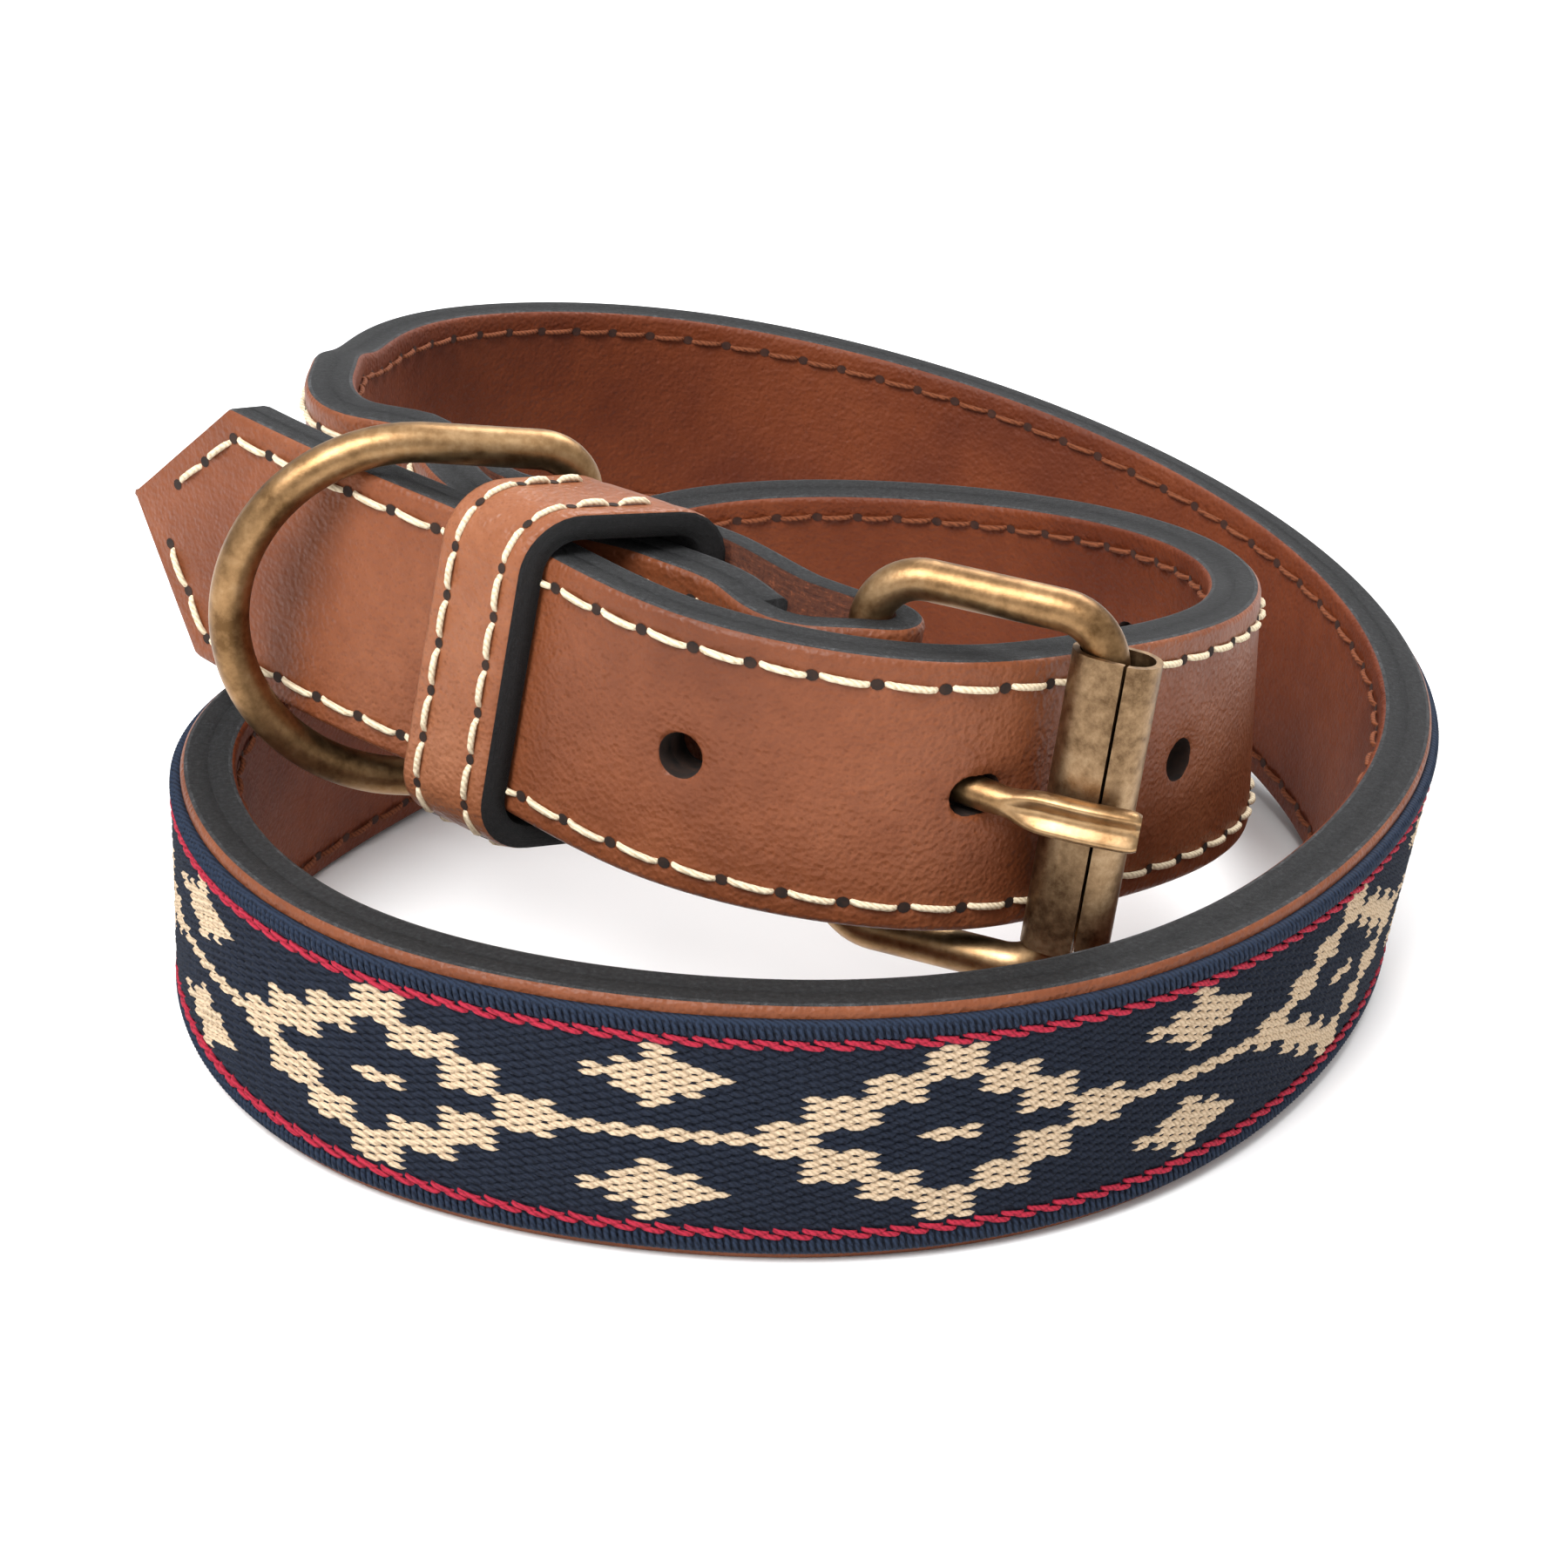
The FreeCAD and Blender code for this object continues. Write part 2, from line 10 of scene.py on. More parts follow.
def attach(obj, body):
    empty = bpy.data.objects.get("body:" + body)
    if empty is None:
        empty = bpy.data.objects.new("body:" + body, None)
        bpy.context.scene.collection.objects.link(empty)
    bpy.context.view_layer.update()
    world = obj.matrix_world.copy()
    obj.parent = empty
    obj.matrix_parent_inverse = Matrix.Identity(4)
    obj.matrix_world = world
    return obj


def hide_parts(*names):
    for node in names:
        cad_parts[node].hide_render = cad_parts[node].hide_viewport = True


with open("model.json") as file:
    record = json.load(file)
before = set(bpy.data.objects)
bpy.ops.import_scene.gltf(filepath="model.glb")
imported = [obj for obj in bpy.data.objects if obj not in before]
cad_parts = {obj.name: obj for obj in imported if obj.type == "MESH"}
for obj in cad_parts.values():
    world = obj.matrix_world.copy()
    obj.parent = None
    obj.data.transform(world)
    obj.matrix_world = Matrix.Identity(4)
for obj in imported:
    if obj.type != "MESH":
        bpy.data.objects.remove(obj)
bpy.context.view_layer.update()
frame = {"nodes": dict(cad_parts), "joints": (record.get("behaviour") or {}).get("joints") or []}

MM = 0.001
rng = np.random.default_rng(7)

# ---- the collar's sizes, in millimetres ----------------------------------------------------
WIDTH, PLY = 25.0, 2.6
HALF = WIDTH / 2
HOLES = [709.5, 683.2, 656.9, 630.6, 604.3]
PRONG_HOLE = HOLES[1]
HOLE_RADIUS = 2.1
HOLE_STRETCH = (600, 715)    # where the strap's mesh is finer, for its holes
CUTTER_DEPTHS = np.linspace(-6, 6, 7)
PRONG_CUTTER_RADIUS = 1.9
SLOT_CUTTER_RADIUS = 3.6     # the room in the fold for the prong's eye
DISH_DEPTH, DISH_RIM, DISH_FADE, DISH_LAYER = 0.42, 1.7, 0.95, 1.2
MESH_STEP, HOLE_STEP, TIP_STEP, FOLD_STEP = 1.6, 0.8, 0.5, 0.8
TIP_AT, TIP_LENGTH = 766.0, 12.0
LINING_START = 14.0
BAND_START, BAND_END, BAND_HALF = 118.0, 566.0, 11.4
ROW = 10.1                   # from the strap's middle to a row of stitches
RED_ROW = 9.3
STITCH = 5.0                 # from one stitch to the next
CREAM_RADIUS, BROWN_RADIUS, KEEPER_THREAD_RADIUS, RED_RADIUS = 0.31, 0.28, 0.30, 0.23
BAR_AT, WIRE, BAR_PLAY, BAR_DROP = 3.2, 1.85, 0.4, 0.2
FRAME_UP = (0.085, 0.065, 1.0)
FACE_START, SINK = 6.0, 0.12
KEEPER_FROM, KEEPER_TO, KEEPER_THICK, KEEPER_CORNER = 726.6, 736.8, 2.4, 5.5
KEEPER_SKEW, KEEPER_DEPTH = 5.8, 19.5
KEEPER_HALF, KEEPER_FLAP, KEEPER_GAP, KEEPER_BACK_GAP = 16.4, 10.0, 0.5, 1.0
KEEPER_STITCH, KEEPER_STITCH_LENGTH, KEEPER_PLAIN_END = 4.6, 3.7, 14.5

# Poles of the strap's lower edge, from the fold at the buckle to the tip.
LAY = [
    (7.6, -49, 24.5), (2.1, -49.5, 24.5), (-0.9, -50, 24.5), (-4.9, -46.5, 24.5),
    (-7.4, -41.5, 25), (-12.9, -38.5, 25.5), (-15.9, -35.5, 25.5), (-27.9, -32, 26),
    (-36.4, -16.5, 26), (-36.4, -7.5, 26.5), (-45.9, -6, 26), (-49.4, 3, 25.5),
    (-49.9, 12, 24.5), (-50.9, 20, 23), (-49.9, 26, 21), (-48.4, 54, 18),
    (-17.4, 75.5, 14), (23.6, 64, 9), (53.6, 36.5, 3.5), (63.6, 1.5, 0),
    (54.1, -31.5, 0), (33.1, -61.5, 0), (0.6, -74, 0), (-39.9, -66, 0),
    (-56.9, -37.5, 0), (-57.4, -12.5, 0), (-32.9, 21.5, 1), (-14.4, 42.5, 3.5),
    (24.6, 34, 7), (44.6, 8.5, 11.5), (42.6, -23.5, 16.5), (22.6, -44.5, 21),
    (11.1, -57.5, 24.5), (-13.4, -53, 25.5), (-28.9, -35.5, 27.5), (-45.1, -29.7, 29.4),
    (-64.4, -10.7, 31),
]
LEAN = [(0, -4), (70, 1), (160, 1), (250, 10), (320, 4), (390, 0), (450, 0),
        (530, -7), (610, -5), (670, -2), (760, -8)]
FOLD_DEPTH = 4.05
TURN_BACK = [(60, 4.05), (58, 4.05), (55, 4.05), (52, 4.2), (49, 5.1), (45, 7.2), (39.5, 9.9),
             (30, 8.6), (24, 7.9), (17, 7.3)]


# ---- the strap's line -------------------------------------------------------------------------
def unit(v):
    return v / np.linalg.norm(v, axis=-1, keepdims=True)


def cubic_spline(poles, u):
    """Clamped uniform cubic B-spline at the parameters u, from 0 to 1."""
    count = len(poles)
    knots = np.concatenate([[0.0] * 3, np.linspace(0, 1, count - 2), [1.0] * 3])
    u = np.clip(u, 0, 1 - 1e-9)
    basis = [(knots[i] <= u) & (u < knots[i + 1]) for i in range(len(knots) - 1)]
    basis = [np.where(b, 1.0, 0.0) for b in basis]
    for degree in (1, 2, 3):
        following = []
        for i in range(len(basis) - 1):
            left, right = knots[i + degree] - knots[i], knots[i + degree + 1] - knots[i + 1]
            value = np.zeros_like(u)
            if left > 0:
                value = value + (u - knots[i]) / left * basis[i]
            if right > 0:
                value = value + (knots[i + degree + 1] - u) / right * basis[i + 1]
            following.append(value)
        basis = following
    return np.stack(basis, axis=-1) @ np.array(poles, dtype=float)


def smooth_value(knots, at):
    """Cubic through (place, value) knots, level at both ends and wherever it turns."""
    x, y = np.array(knots, dtype=float).T
    step = np.diff(y)
    slopes = np.zeros(len(x))
    inner = (y[2:] - y[:-2]) / (x[2:] - x[:-2])
    slopes[1:-1] = np.where(step[:-1] * step[1:] <= 0, 0, inner)
    at = np.clip(at, x[0], x[-1])
    i = np.clip(np.searchsorted(x, at, side="right") - 1, 0, len(x) - 2)
    span = x[i + 1] - x[i]
    t = (at - x[i]) / span
    return ((2 * t ** 3 - 3 * t ** 2 + 1) * y[i] + (t ** 3 - 2 * t ** 2 + t) * span * slopes[i]
            + (3 * t ** 2 - 2 * t ** 3) * y[i + 1] + (t ** 3 - t ** 2) * span * slopes[i + 1])


FINE = np.linspace(0, 1, 8001)
FINE_LINE = cubic_spline(LAY, FINE)
FINE_DISTANCE = np.concatenate([[0], np.cumsum(np.linalg.norm(np.diff(FINE_LINE, axis=0), axis=1))])


class Places:
    """Places along the strap: middles, and the directions along, out and up there."""

    def __init__(self, distance):
        self.s = np.atleast_1d(np.asarray(distance, dtype=float))
        u = np.interp(self.s, FINE_DISTANCE, FINE)
        step = 2e-4
        ahead, behind = np.clip(u + step, 0, 1), np.clip(u - step, 0, 1)
        self.along = unit(cubic_spline(LAY, ahead) - cubic_spline(LAY, behind))
        level = unit(np.stack([-self.along[:, 1], self.along[:, 0], 0 * u], axis=1))
        square = np.cross(self.along, level)
        square *= np.where(square[:, 2:] < 0, -1, 1)
        lean = np.radians(smooth_value(LEAN, self.s))[:, None]
        self.up = square * np.cos(lean) + level * np.sin(lean)
        self.out = level * np.cos(lean) - square * np.sin(lean)
        foot = HALF * np.cos(lean) + PLY * np.abs(np.sin(lean)) - SINK
        self.middle = cubic_spline(LAY, u) + foot * np.array([0, 0, 1])

    def point(self, out=0.0, up=0.0, along=0.0):
        out, up, along = (np.atleast_1d(np.asarray(x, dtype=float))[:, None]
                          for x in (out, up, along))
        return self.middle + self.out * out + self.up * up + self.along * along


# ---- meshes -----------------------------------------------------------------------------------
def add_mesh(name, points, faces, materials, indices=None, uv=None, smooth=True):
    """A mesh object from points in millimetres."""
    mesh = bpy.data.meshes.new(name)
    mesh.from_pydata((np.asarray(points) * MM).tolist(), [], faces)
    for material in materials:
        mesh.materials.append(material)
    if indices is not None:
        mesh.polygons.foreach_set("material_index", np.asarray(indices, dtype=np.int32))
    if uv is not None:
        layer = mesh.uv_layers.new(name="strap")
        corner = np.empty(len(mesh.loops), dtype=np.int32)
        mesh.loops.foreach_get("vertex_index", corner)
        layer.data.foreach_set("uv", (np.asarray(uv)[corner]).astype(np.float32).ravel())
    mesh.polygons.foreach_set("use_smooth", np.full(len(mesh.polygons), smooth))
    mesh.update()
    piece = bpy.data.objects.new(name, mesh)
    bpy.context.scene.collection.objects.link(piece)
    return piece


def swept(name, middle, side, up, s, outline, materials, slots, taper=None):
    """A closed solid swept through places; slots gives a material for each outline run."""
    n, m = len(middle), len(outline)
    outline = np.array(outline, dtype=float)
    if outline.ndim == 2:
        outline = np.repeat(outline[None], n, axis=0)
    if taper is not None:
        outline = outline.copy()
        outline[:, :, 1] *= taper[:, None]
    points = (middle[:, None] + side[:, None] * outline[:, :, :1] + up[:, None] * outline[:, :, 1:])
    points[:, :, 2] = np.clip(points[:, :, 2], 0, None)
    faces, indices = [], []
    for i in range(n - 1):
        for k in range(m):
            j = (k + 1) % m
            faces.append((i * m + k, i * m + j, (i + 1) * m + j, (i + 1) * m + k))
            indices.append(slots[k])
    faces.append(tuple(range(m - 1, -1, -1)))
    faces.append(tuple((n - 1) * m + k for k in range(m)))
    indices += [1, 1]
    round_it = outline[:, :, 1] + 40 * (outline[:, :, 0] > PLY / 2)
    uv = np.stack([np.repeat(s[:, None], m, axis=1), round_it], axis=2).reshape(-1, 2)
    return add_mesh(name, points.reshape(-1, 3), faces, materials, indices, uv)


def fix_normals(piece):
    """Turns all of a piece's faces to look outward."""
    work = bmesh.new()
    work.from_mesh(piece.data)
    bmesh.ops.recalc_face_normals(work, faces=work.faces)
    work.to_mesh(piece.data)
    work.free()


def tube(name, line, radius, material, sides=12):
    """A round bar along a line of points, with flat ends."""
    line = np.asarray(line, dtype=float)
    along = unit(np.gradient(line, axis=0))
    ref = np.array([0.0, 0.0, 1.0])
    side = unit(np.cross(along, ref))
    up = np.cross(side, along)
    radius = np.broadcast_to(radius, (len(line),))
    turn = np.linspace(0, 2 * math.pi, sides, endpoint=False)
    ring = (side[:, None] * np.cos(turn)[None, :, None] + up[:, None] * np.sin(turn)[None, :, None])
    points = line[:, None] + ring * radius[:, None, None]
    n = len(line)
    faces = []
    for i in range(n - 1):
        for k in range(sides):
            j = (k + 1) % sides
            faces.append((i * sides + k, i * sides + j, (i + 1) * sides + j, (i + 1) * sides + k))
    faces.append(tuple(range(sides - 1, -1, -1)))
    faces.append(tuple((n - 1) * sides + k for k in range(sides)))
    return add_mesh(name, points.reshape(-1, 3), faces, [material])


# ---- materials ----------------------------------------------------------------------------------
class Nodes:
    """A material's node tree, with short ways to add to it."""

    def __init__(self, name, roughness=0.5, metallic=0.0, **sockets):
        self.material = bpy.data.materials.new(name)
        self.material.use_nodes = True
        self.tree = self.material.node_tree
        self.shader = self.tree.nodes["Principled BSDF"]
        self.shader.inputs["Roughness"].default_value = roughness
        self.shader.inputs["Metallic"].default_value = metallic
        for socket, value in sockets.items():
            self.shader.inputs[socket.replace("_", " ")].default_value = value
        self.place = self.add("ShaderNodeTexCoord").outputs["Object"]
        self.strap = self.add("ShaderNodeUVMap", uv_map="strap").outputs["UV"]

    def add(self, kind, links=None, **settings):
        node = self.tree.nodes.new(kind)
        for key, value in settings.items():
            setattr(node, key, value)
        for socket, value in (links or {}).items():
            if hasattr(value, "is_output"):
                self.tree.links.new(value, node.inputs[socket])
            else:
                node.inputs[socket].default_value = value
        return node

    def scaled(self, vector, scale):
        return self.add("ShaderNodeVectorMath", {0: vector, 1: scale}, operation="MULTIPLY").outputs[0]

    def noise(self, vector, scale, detail=3.0, rough=0.6):
        return self.add("ShaderNodeTexNoise", {"Vector": vector, "Scale": scale, "Detail": detail,
                                               "Roughness": rough}).outputs["Fac"]

    def cells(self, vector, scale, feature="F1"):
        return self.add("ShaderNodeTexVoronoi", {"Vector": vector, "Scale": scale},
                        feature=feature).outputs["Distance"]

    def ramp(self, value, stops):
        node = self.add("ShaderNodeValToRGB", {"Fac": value})
        ramp = node.color_ramp
        while len(ramp.elements) < len(stops):
            ramp.elements.new(0.5)
        for element, (at, colour) in zip(ramp.elements, stops):
            element.position = at
            element.color = (*colour, 1)
        return node.outputs["Color"]

    def math(self, operation, a, b=0.0):
        return self.add("ShaderNodeMath", {0: a, 1: b}, operation=operation).outputs[0]

    def spread(self, value, low, high):
        links = {"Value": value, "To Min": low, "To Max": high}
        return self.add("ShaderNodeMapRange", links).outputs[0]

    def mix(self, share, a, b, blend="MIX"):
        node = self.add("ShaderNodeMix", data_type="RGBA", blend_type=blend)
        for socket, value in ((0, share), (6, a), (7, b)):
            if hasattr(value, "is_output"):
                self.tree.links.new(value, node.inputs[socket])
            else:
                node.inputs[socket].default_value = value if socket == 0 else (*value, 1)
        return node.outputs[2]

    def finish(self, colour=None, roughness=None, bumps=()):
        links = self.tree.links
        if colour is not None:
            links.new(colour, self.shader.inputs["Base Color"])
        if roughness is not None:
            links.new(roughness, self.shader.inputs["Roughness"])
        normal = None
        for height, depth in bumps:
            bump = self.add("ShaderNodeBump", {"Height": height, "Distance": depth * MM})
            if normal is not None:
                links.new(normal, bump.inputs["Normal"])
            normal = bump.outputs["Normal"]
        if normal is not None:
            links.new(normal, self.shader.inputs["Normal"])
        return self.material


def leather(name, dark, middle, light, roughness, specks=0.5):
    """Grain leather: a pebbled surface with fine pores, and broad changes of tone."""
    n = Nodes(name, roughness, Specular_IOR_Level=0.28)
    pores = n.cells(n.place, 2100)
    pebble = n.cells(n.place, 1700, "SMOOTH_F1")
    broad = n.noise(n.place, 45, 5, 0.6)
    fine = n.noise(n.place, 700, 3, 0.6)
    tone = n.ramp(broad, [(0.30, dark), (0.52, middle), (0.75, light)])
    tone = n.mix(n.spread(fine, 0.0, 0.55), tone, dark)
    tone = n.mix(n.ramp(pores, [(0.0, (specks,) * 3), (0.35, (0, 0, 0))]), tone, dark)
    shine = n.spread(n.noise(n.place, 260, 4), roughness - 0.10, roughness + 0.16)
    return n.finish(tone, shine, [(pebble, 0.11), (pores, 0.07), (fine, 0.11)])


def raw_edge(name, dark, light):
    """A cut edge, dyed nearly black: fibres along the strap, with pale flecks."""
    n = Nodes(name, 0.85)
    fibres = n.noise(n.scaled(n.strap, (0.55, 3.0, 1)), 1.0, 5, 0.7)
    crumbs = n.noise(n.place, 2300, 4, 0.7)
    both = n.math("ADD", n.math("MULTIPLY", fibres, 0.5), n.math("MULTIPLY", crumbs, 0.5))
    tone = n.ramp(both, [(0.38, dark), (0.55, light), (0.70, tuple(3.2 * x for x in light))])
    return n.finish(tone, None, [(crumbs, 0.35), (fibres, 0.30)])


def thread_material(name, dark, light):
    n = Nodes(name, 0.85)
    n.shader.inputs["Specular IOR Level"].default_value = 0.25
    twist = n.add("ShaderNodeTexWave", {"Vector": n.place, "Scale": 900, "Distortion": 2.5},
                  bands_direction="DIAGONAL").outputs["Fac"]
    fuzz = n.noise(n.place, 2500, 3)
    both = n.math("ADD", n.math("MULTIPLY", twist, 0.3), n.math("MULTIPLY", fuzz, 0.7))
    tone = n.ramp(both, [(0.25, dark), (0.55, light)])
    return n.finish(tone, None, [(twist, 0.05), (fuzz, 0.06)])


def brass(name, dark, middle, light, roughness, patina):
    """Antiqued brass: brown in the hollows, lighter where it is rubbed."""
    n = Nodes(name, roughness, 1.0)
    cloud = n.noise(n.place, 90, 5, 0.65)
    fine = n.noise(n.place, 900, 4, 0.7)
    both = n.math("ADD", n.math("MULTIPLY", cloud, 1 - patina), n.math("MULTIPLY", fine, patina))
    tone = n.ramp(both, [(0.36, dark), (0.5, middle), (0.66, light)])
    shine = n.spread(fine, roughness - 0.08, roughness + 0.14)
    return n.finish(tone, shine, [(fine, 0.03)])


GRAIN = leather("grain_leather", (0.120, 0.031, 0.010), (0.205, 0.060, 0.022),
                (0.290, 0.098, 0.041), 0.45)
KEEPER_GRAIN = leather("keeper_leather", (0.145, 0.042, 0.014), (0.255, 0.084, 0.034),
                       (0.36, 0.145, 0.070), 0.40)
LINING = leather("lining_leather", (0.090, 0.016, 0.004), (0.160, 0.034, 0.008),
                 (0.215, 0.052, 0.014), 0.55, 0.3)
EDGE = raw_edge("dyed_edge", (0.006, 0.006, 0.007), (0.033, 0.034, 0.036))
KEEPER_EDGE = raw_edge("keeper_edge", (0.0015, 0.0015, 0.002), (0.007, 0.007, 0.008))
FLESH = raw_edge("suede_flesh", (0.055, 0.013, 0.005), (0.125, 0.034, 0.013))
CREAM = thread_material("cream_thread", (0.50, 0.39, 0.25), (0.78, 0.66, 0.47))
RED = thread_material("red_thread", (0.16, 0.006, 0.016), (0.38, 0.018, 0.042))
BROWN = thread_material("brown_thread", (0.085, 0.022, 0.008), (0.21, 0.064, 0.026))
CREAM_YARN = thread_material("cream_yarn", (0.36, 0.26, 0.165), (0.64, 0.49, 0.335))
NAVY_YARN = thread_material("navy_yarn", (0.003, 0.0045, 0.010), (0.011, 0.016, 0.030))
SELVAGE = thread_material("navy_selvage", (0.0035, 0.006, 0.014), (0.014, 0.024, 0.048))
# Painted shade: near-black for the walls of the holes and the prong's slot, and for the discs in the
# cream stitches' pits.
PAINTED_SHADE = Nodes("painted_hole_shade", 0.95)
PAINTED_SHADE = PAINTED_SHADE.finish(PAINTED_SHADE.ramp(PAINTED_SHADE.noise(PAINTED_SHADE.place, 900), [(0.3, (0.006, 0.003, 0.002)),
                                                         (0.7, (0.030, 0.012, 0.006))]))
# Painted shade: dark brown for the discs in the brown stitches' pits.
PIT_SHADE = Nodes("painted_pit_shade", 0.9)
PIT_SHADE = PIT_SHADE.finish(PIT_SHADE.ramp(PIT_SHADE.noise(PIT_SHADE.place, 900), [(0.3, (0.020, 0.005, 0.002)),
                                                      (0.7, (0.055, 0.016, 0.007))]))
BRASS = brass("antique_brass", (0.120, 0.064, 0.026), (0.30, 0.175, 0.080), (0.50, 0.335, 0.18),
              0.38, 0.25)
ROLLED = brass("rolled_brass", (0.110, 0.064, 0.032), (0.25, 0.160, 0.086), (0.40, 0.28, 0.165),
               0.40, 0.5)


# ---- leather ------------------------------------------------------------------------------------
def ply_outline(low, high, steps=22, roll=0.7):
    """Section of a ply from its back, low, to its face, high, and a slot for each run."""
    points, slots = [], []
    across = np.linspace(-HALF + roll, HALF - roll, steps + 1)
    for t in across:
        groove = 0.12 * math.exp(-((abs(t) - ROW) / 0.55) ** 2)
        points.append((high - groove, t))
        slots.append(0)
    for turn in (30, 60, 90):
        a = math.radians(turn)
        points.append((high - roll * (1 - math.cos(a)), HALF - roll * (1 - math.sin(a))))
        slots.append(0 if turn < 60 else 1)
    points.append((low, HALF))
    slots.append(2)
    points.append((low, 0.0))
    slots.append(2)
    points.append((low, -HALF))
    slots.append(1)
    for turn in (90, 60, 30):
        a = math.radians(turn)
        points.append((high - roll * (1 - math.cos(a)), -HALF + roll * (1 - math.sin(a))))
        slots.append(1 if turn > 60 else 0)
    return points, slots


def tip_taper(s):
    """Share of the full width left in the pointed tip, with its corners just rounded."""
    share = np.clip((TIP_AT + TIP_LENGTH - s) / TIP_LENGTH, 0, 1)
    return np.clip(share, 0.02, 1)


bar_place = Places(BAR_AT)
frame_up = unit(np.array(FRAME_UP))
bar_middle = bar_place.point(-(BAR_PLAY + WIRE), -BAR_DROP)[0]


def fold_places():
    """The turned-back end of the outer ply and its loop round the buckle's bar."""
    middles, ups = [], []
    for distance, depth in TURN_BACK:
        place = Places(distance)
        middles.append(place.point(-depth)[0])
        ups.append(place.up[0])
    bar_out = unit(np.cross(frame_up, bar_place.along[0]))
    bar_along = np.cross(bar_out, frame_up)
    centre = bar_middle + frame_up * BAR_DROP
    for turn in range(150, -1, -15):
        a = math.radians(turn)
        arm = bar_out * math.cos(a) - bar_along * math.sin(a)
        share = min(1, 0.5 + turn / 60)
        middles.append(centre + arm * (WIRE + BAR_PLAY + PLY / 2))
        ups.append(frame_up * share + bar_place.up[0] * (1 - share))
    start = Places(FACE_START)
    middles.append(start.point(PLY / 2)[0])
    ups.append(start.up[0])
    middles, ups = np.array(middles), np.array(ups)
    gaps = np.linalg.norm(np.diff(middles, axis=0), axis=1)
    knots = np.concatenate([[0], np.cumsum(np.sqrt(gaps))])
    slope = np.gradient(middles, knots, axis=0)
    line, lift = [], []
    for i in range(len(middles) - 1):
        steps = max(3, int(gaps[i] / FOLD_STEP))
        for t in np.arange(steps) / steps:
            h = knots[i + 1] - knots[i]
            line.append((2 * t ** 3 - 3 * t ** 2 + 1) * middles[i]
                        + (t ** 3 - 2 * t ** 2 + t) * h * slope[i]
                        + (3 * t ** 2 - 2 * t ** 3) * middles[i + 1]
                        + (t ** 3 - t ** 2) * h * slope[i + 1])
            lift.append(ups[i] * (1 - t) + ups[i + 1] * t)
    line, lift = np.array(line), unit(np.array(lift))
    side = unit(np.cross(lift, np.gradient(line, axis=0)))
    return line - side * (PLY / 2), side, lift


def strap_distances(start, end):
    """Places along the strap, closer together where there are holes and at the tip."""
    out, s = [], start
    while s < end:
        out.append(s)
        if HOLE_STRETCH[0] < s < HOLE_STRETCH[1]:
            s += HOLE_STEP
        elif s > TIP_AT - 3:
            s += TIP_STEP
        else:
            s += MESH_STEP
    return np.array(out + [end])


def dish_holes(piece):
    """Sinks the leather's face a little round each punched hole."""
    mesh = piece.data
    co = np.empty(len(mesh.vertices) * 3)
    mesh.vertices.foreach_get("co", co)
    co = co.reshape(-1, 3)
    for s in HOLES:
        place = Places(s)
        face = place.point(PLY)[0] * MM
        off = co - face
        depth = off @ place.out[0]
        flat = np.linalg.norm(off - depth[:, None] * place.out[0], axis=1)
        near = np.abs(depth) < DISH_LAYER * MM
        sink = DISH_DEPTH * MM * np.exp(-(np.clip(flat / MM - DISH_RIM, 0, None) / DISH_FADE) ** 2)
        co -= np.where(near, sink, 0)[:, None] * place.out[0]
    mesh.vertices.foreach_set("co", co.ravel())
    mesh.update()


def cut(piece, cutters):
    """Takes the cutters' shapes out of a piece."""
    for other in cutters:
        step = piece.modifiers.new("cut", "BOOLEAN")
        step.operation = "DIFFERENCE"
        step.solver = "EXACT"
        step.object = other
        bpy.context.view_layer.objects.active = piece
        with bpy.context.temp_override(object=piece, active_object=piece):
            bpy.ops.object.modifier_apply(modifier=step.name)


def hole_cutters():
    """A round punch for each hole but the one that the prong fills."""
    made = []
    for s in HOLES:
        if s == PRONG_HOLE:
            continue
        place = Places(s)
        line = place.middle[0] + np.outer(CUTTER_DEPTHS, place.out[0])
        # Each punch carries the painted shade for its hole's walls.
        made.append(tube("hole_cutter", line, HOLE_RADIUS, PAINTED_SHADE, 32))
    return made


def strap_pieces():
    """The two plies of leather, with the holes and the prong's slot cut out of them."""
    fold_middle, fold_side, fold_up = fold_places()
    s = strap_distances(FACE_START, TIP_AT + TIP_LENGTH)
    places = Places(s)
    outline, slots = ply_outline(0, PLY)
    fold_s = s[0] - np.arange(len(fold_middle), 0, -1) * FOLD_STEP
    taper = np.concatenate([np.ones(len(fold_middle)), tip_taper(s)])
    # The last slot of each ply holds the painted shade for the cut walls.
    outer = swept("outer_ply", np.concatenate([fold_middle, places.middle]),
                  np.concatenate([fold_side, places.out]), np.concatenate([fold_up, places.up]),
                  np.concatenate([fold_s, s]), outline, [GRAIN, EDGE, FLESH, PAINTED_SHADE], slots, taper)
    s = strap_distances(LINING_START, TIP_AT + TIP_LENGTH)
    places = Places(s)
    outline, slots = ply_outline(0, PLY)
    lining = swept("lining_ply", places.middle, -places.out, places.up, s, outline,
                   [LINING, EDGE, FLESH, PAINTED_SHADE], slots, tip_taper(s))
    for piece in (outer, lining):
        fix_normals(piece)
    dish_holes(outer)
    cutters = hole_cutters() + prong_cutters()
    for other in cutters:
        fix_normals(other)
    cut(outer, cutters)
    cut(lining, cutters)
    for other in cutters:
        bpy.data.objects.remove(other)
    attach(outer, "strap")
    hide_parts("outer_strap")
    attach(lining, "strap")
    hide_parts("lining_strap")


# ---- buckle's directions ------------------------------------------------------------------------
roller_joint = next(j for j in frame["joints"] if j["name"] == "roller_turn")
roller_middle = np.array(roller_joint["pos_m"]) / MM
frame_along = unit(roller_middle - bar_middle)
frame_out = np.cross(frame_up, frame_along)
frame_out = frame_out * (-1 if frame_out[1] > 0 else 1)
PRONG_SWINGS = (0, 3, 6)     # degrees
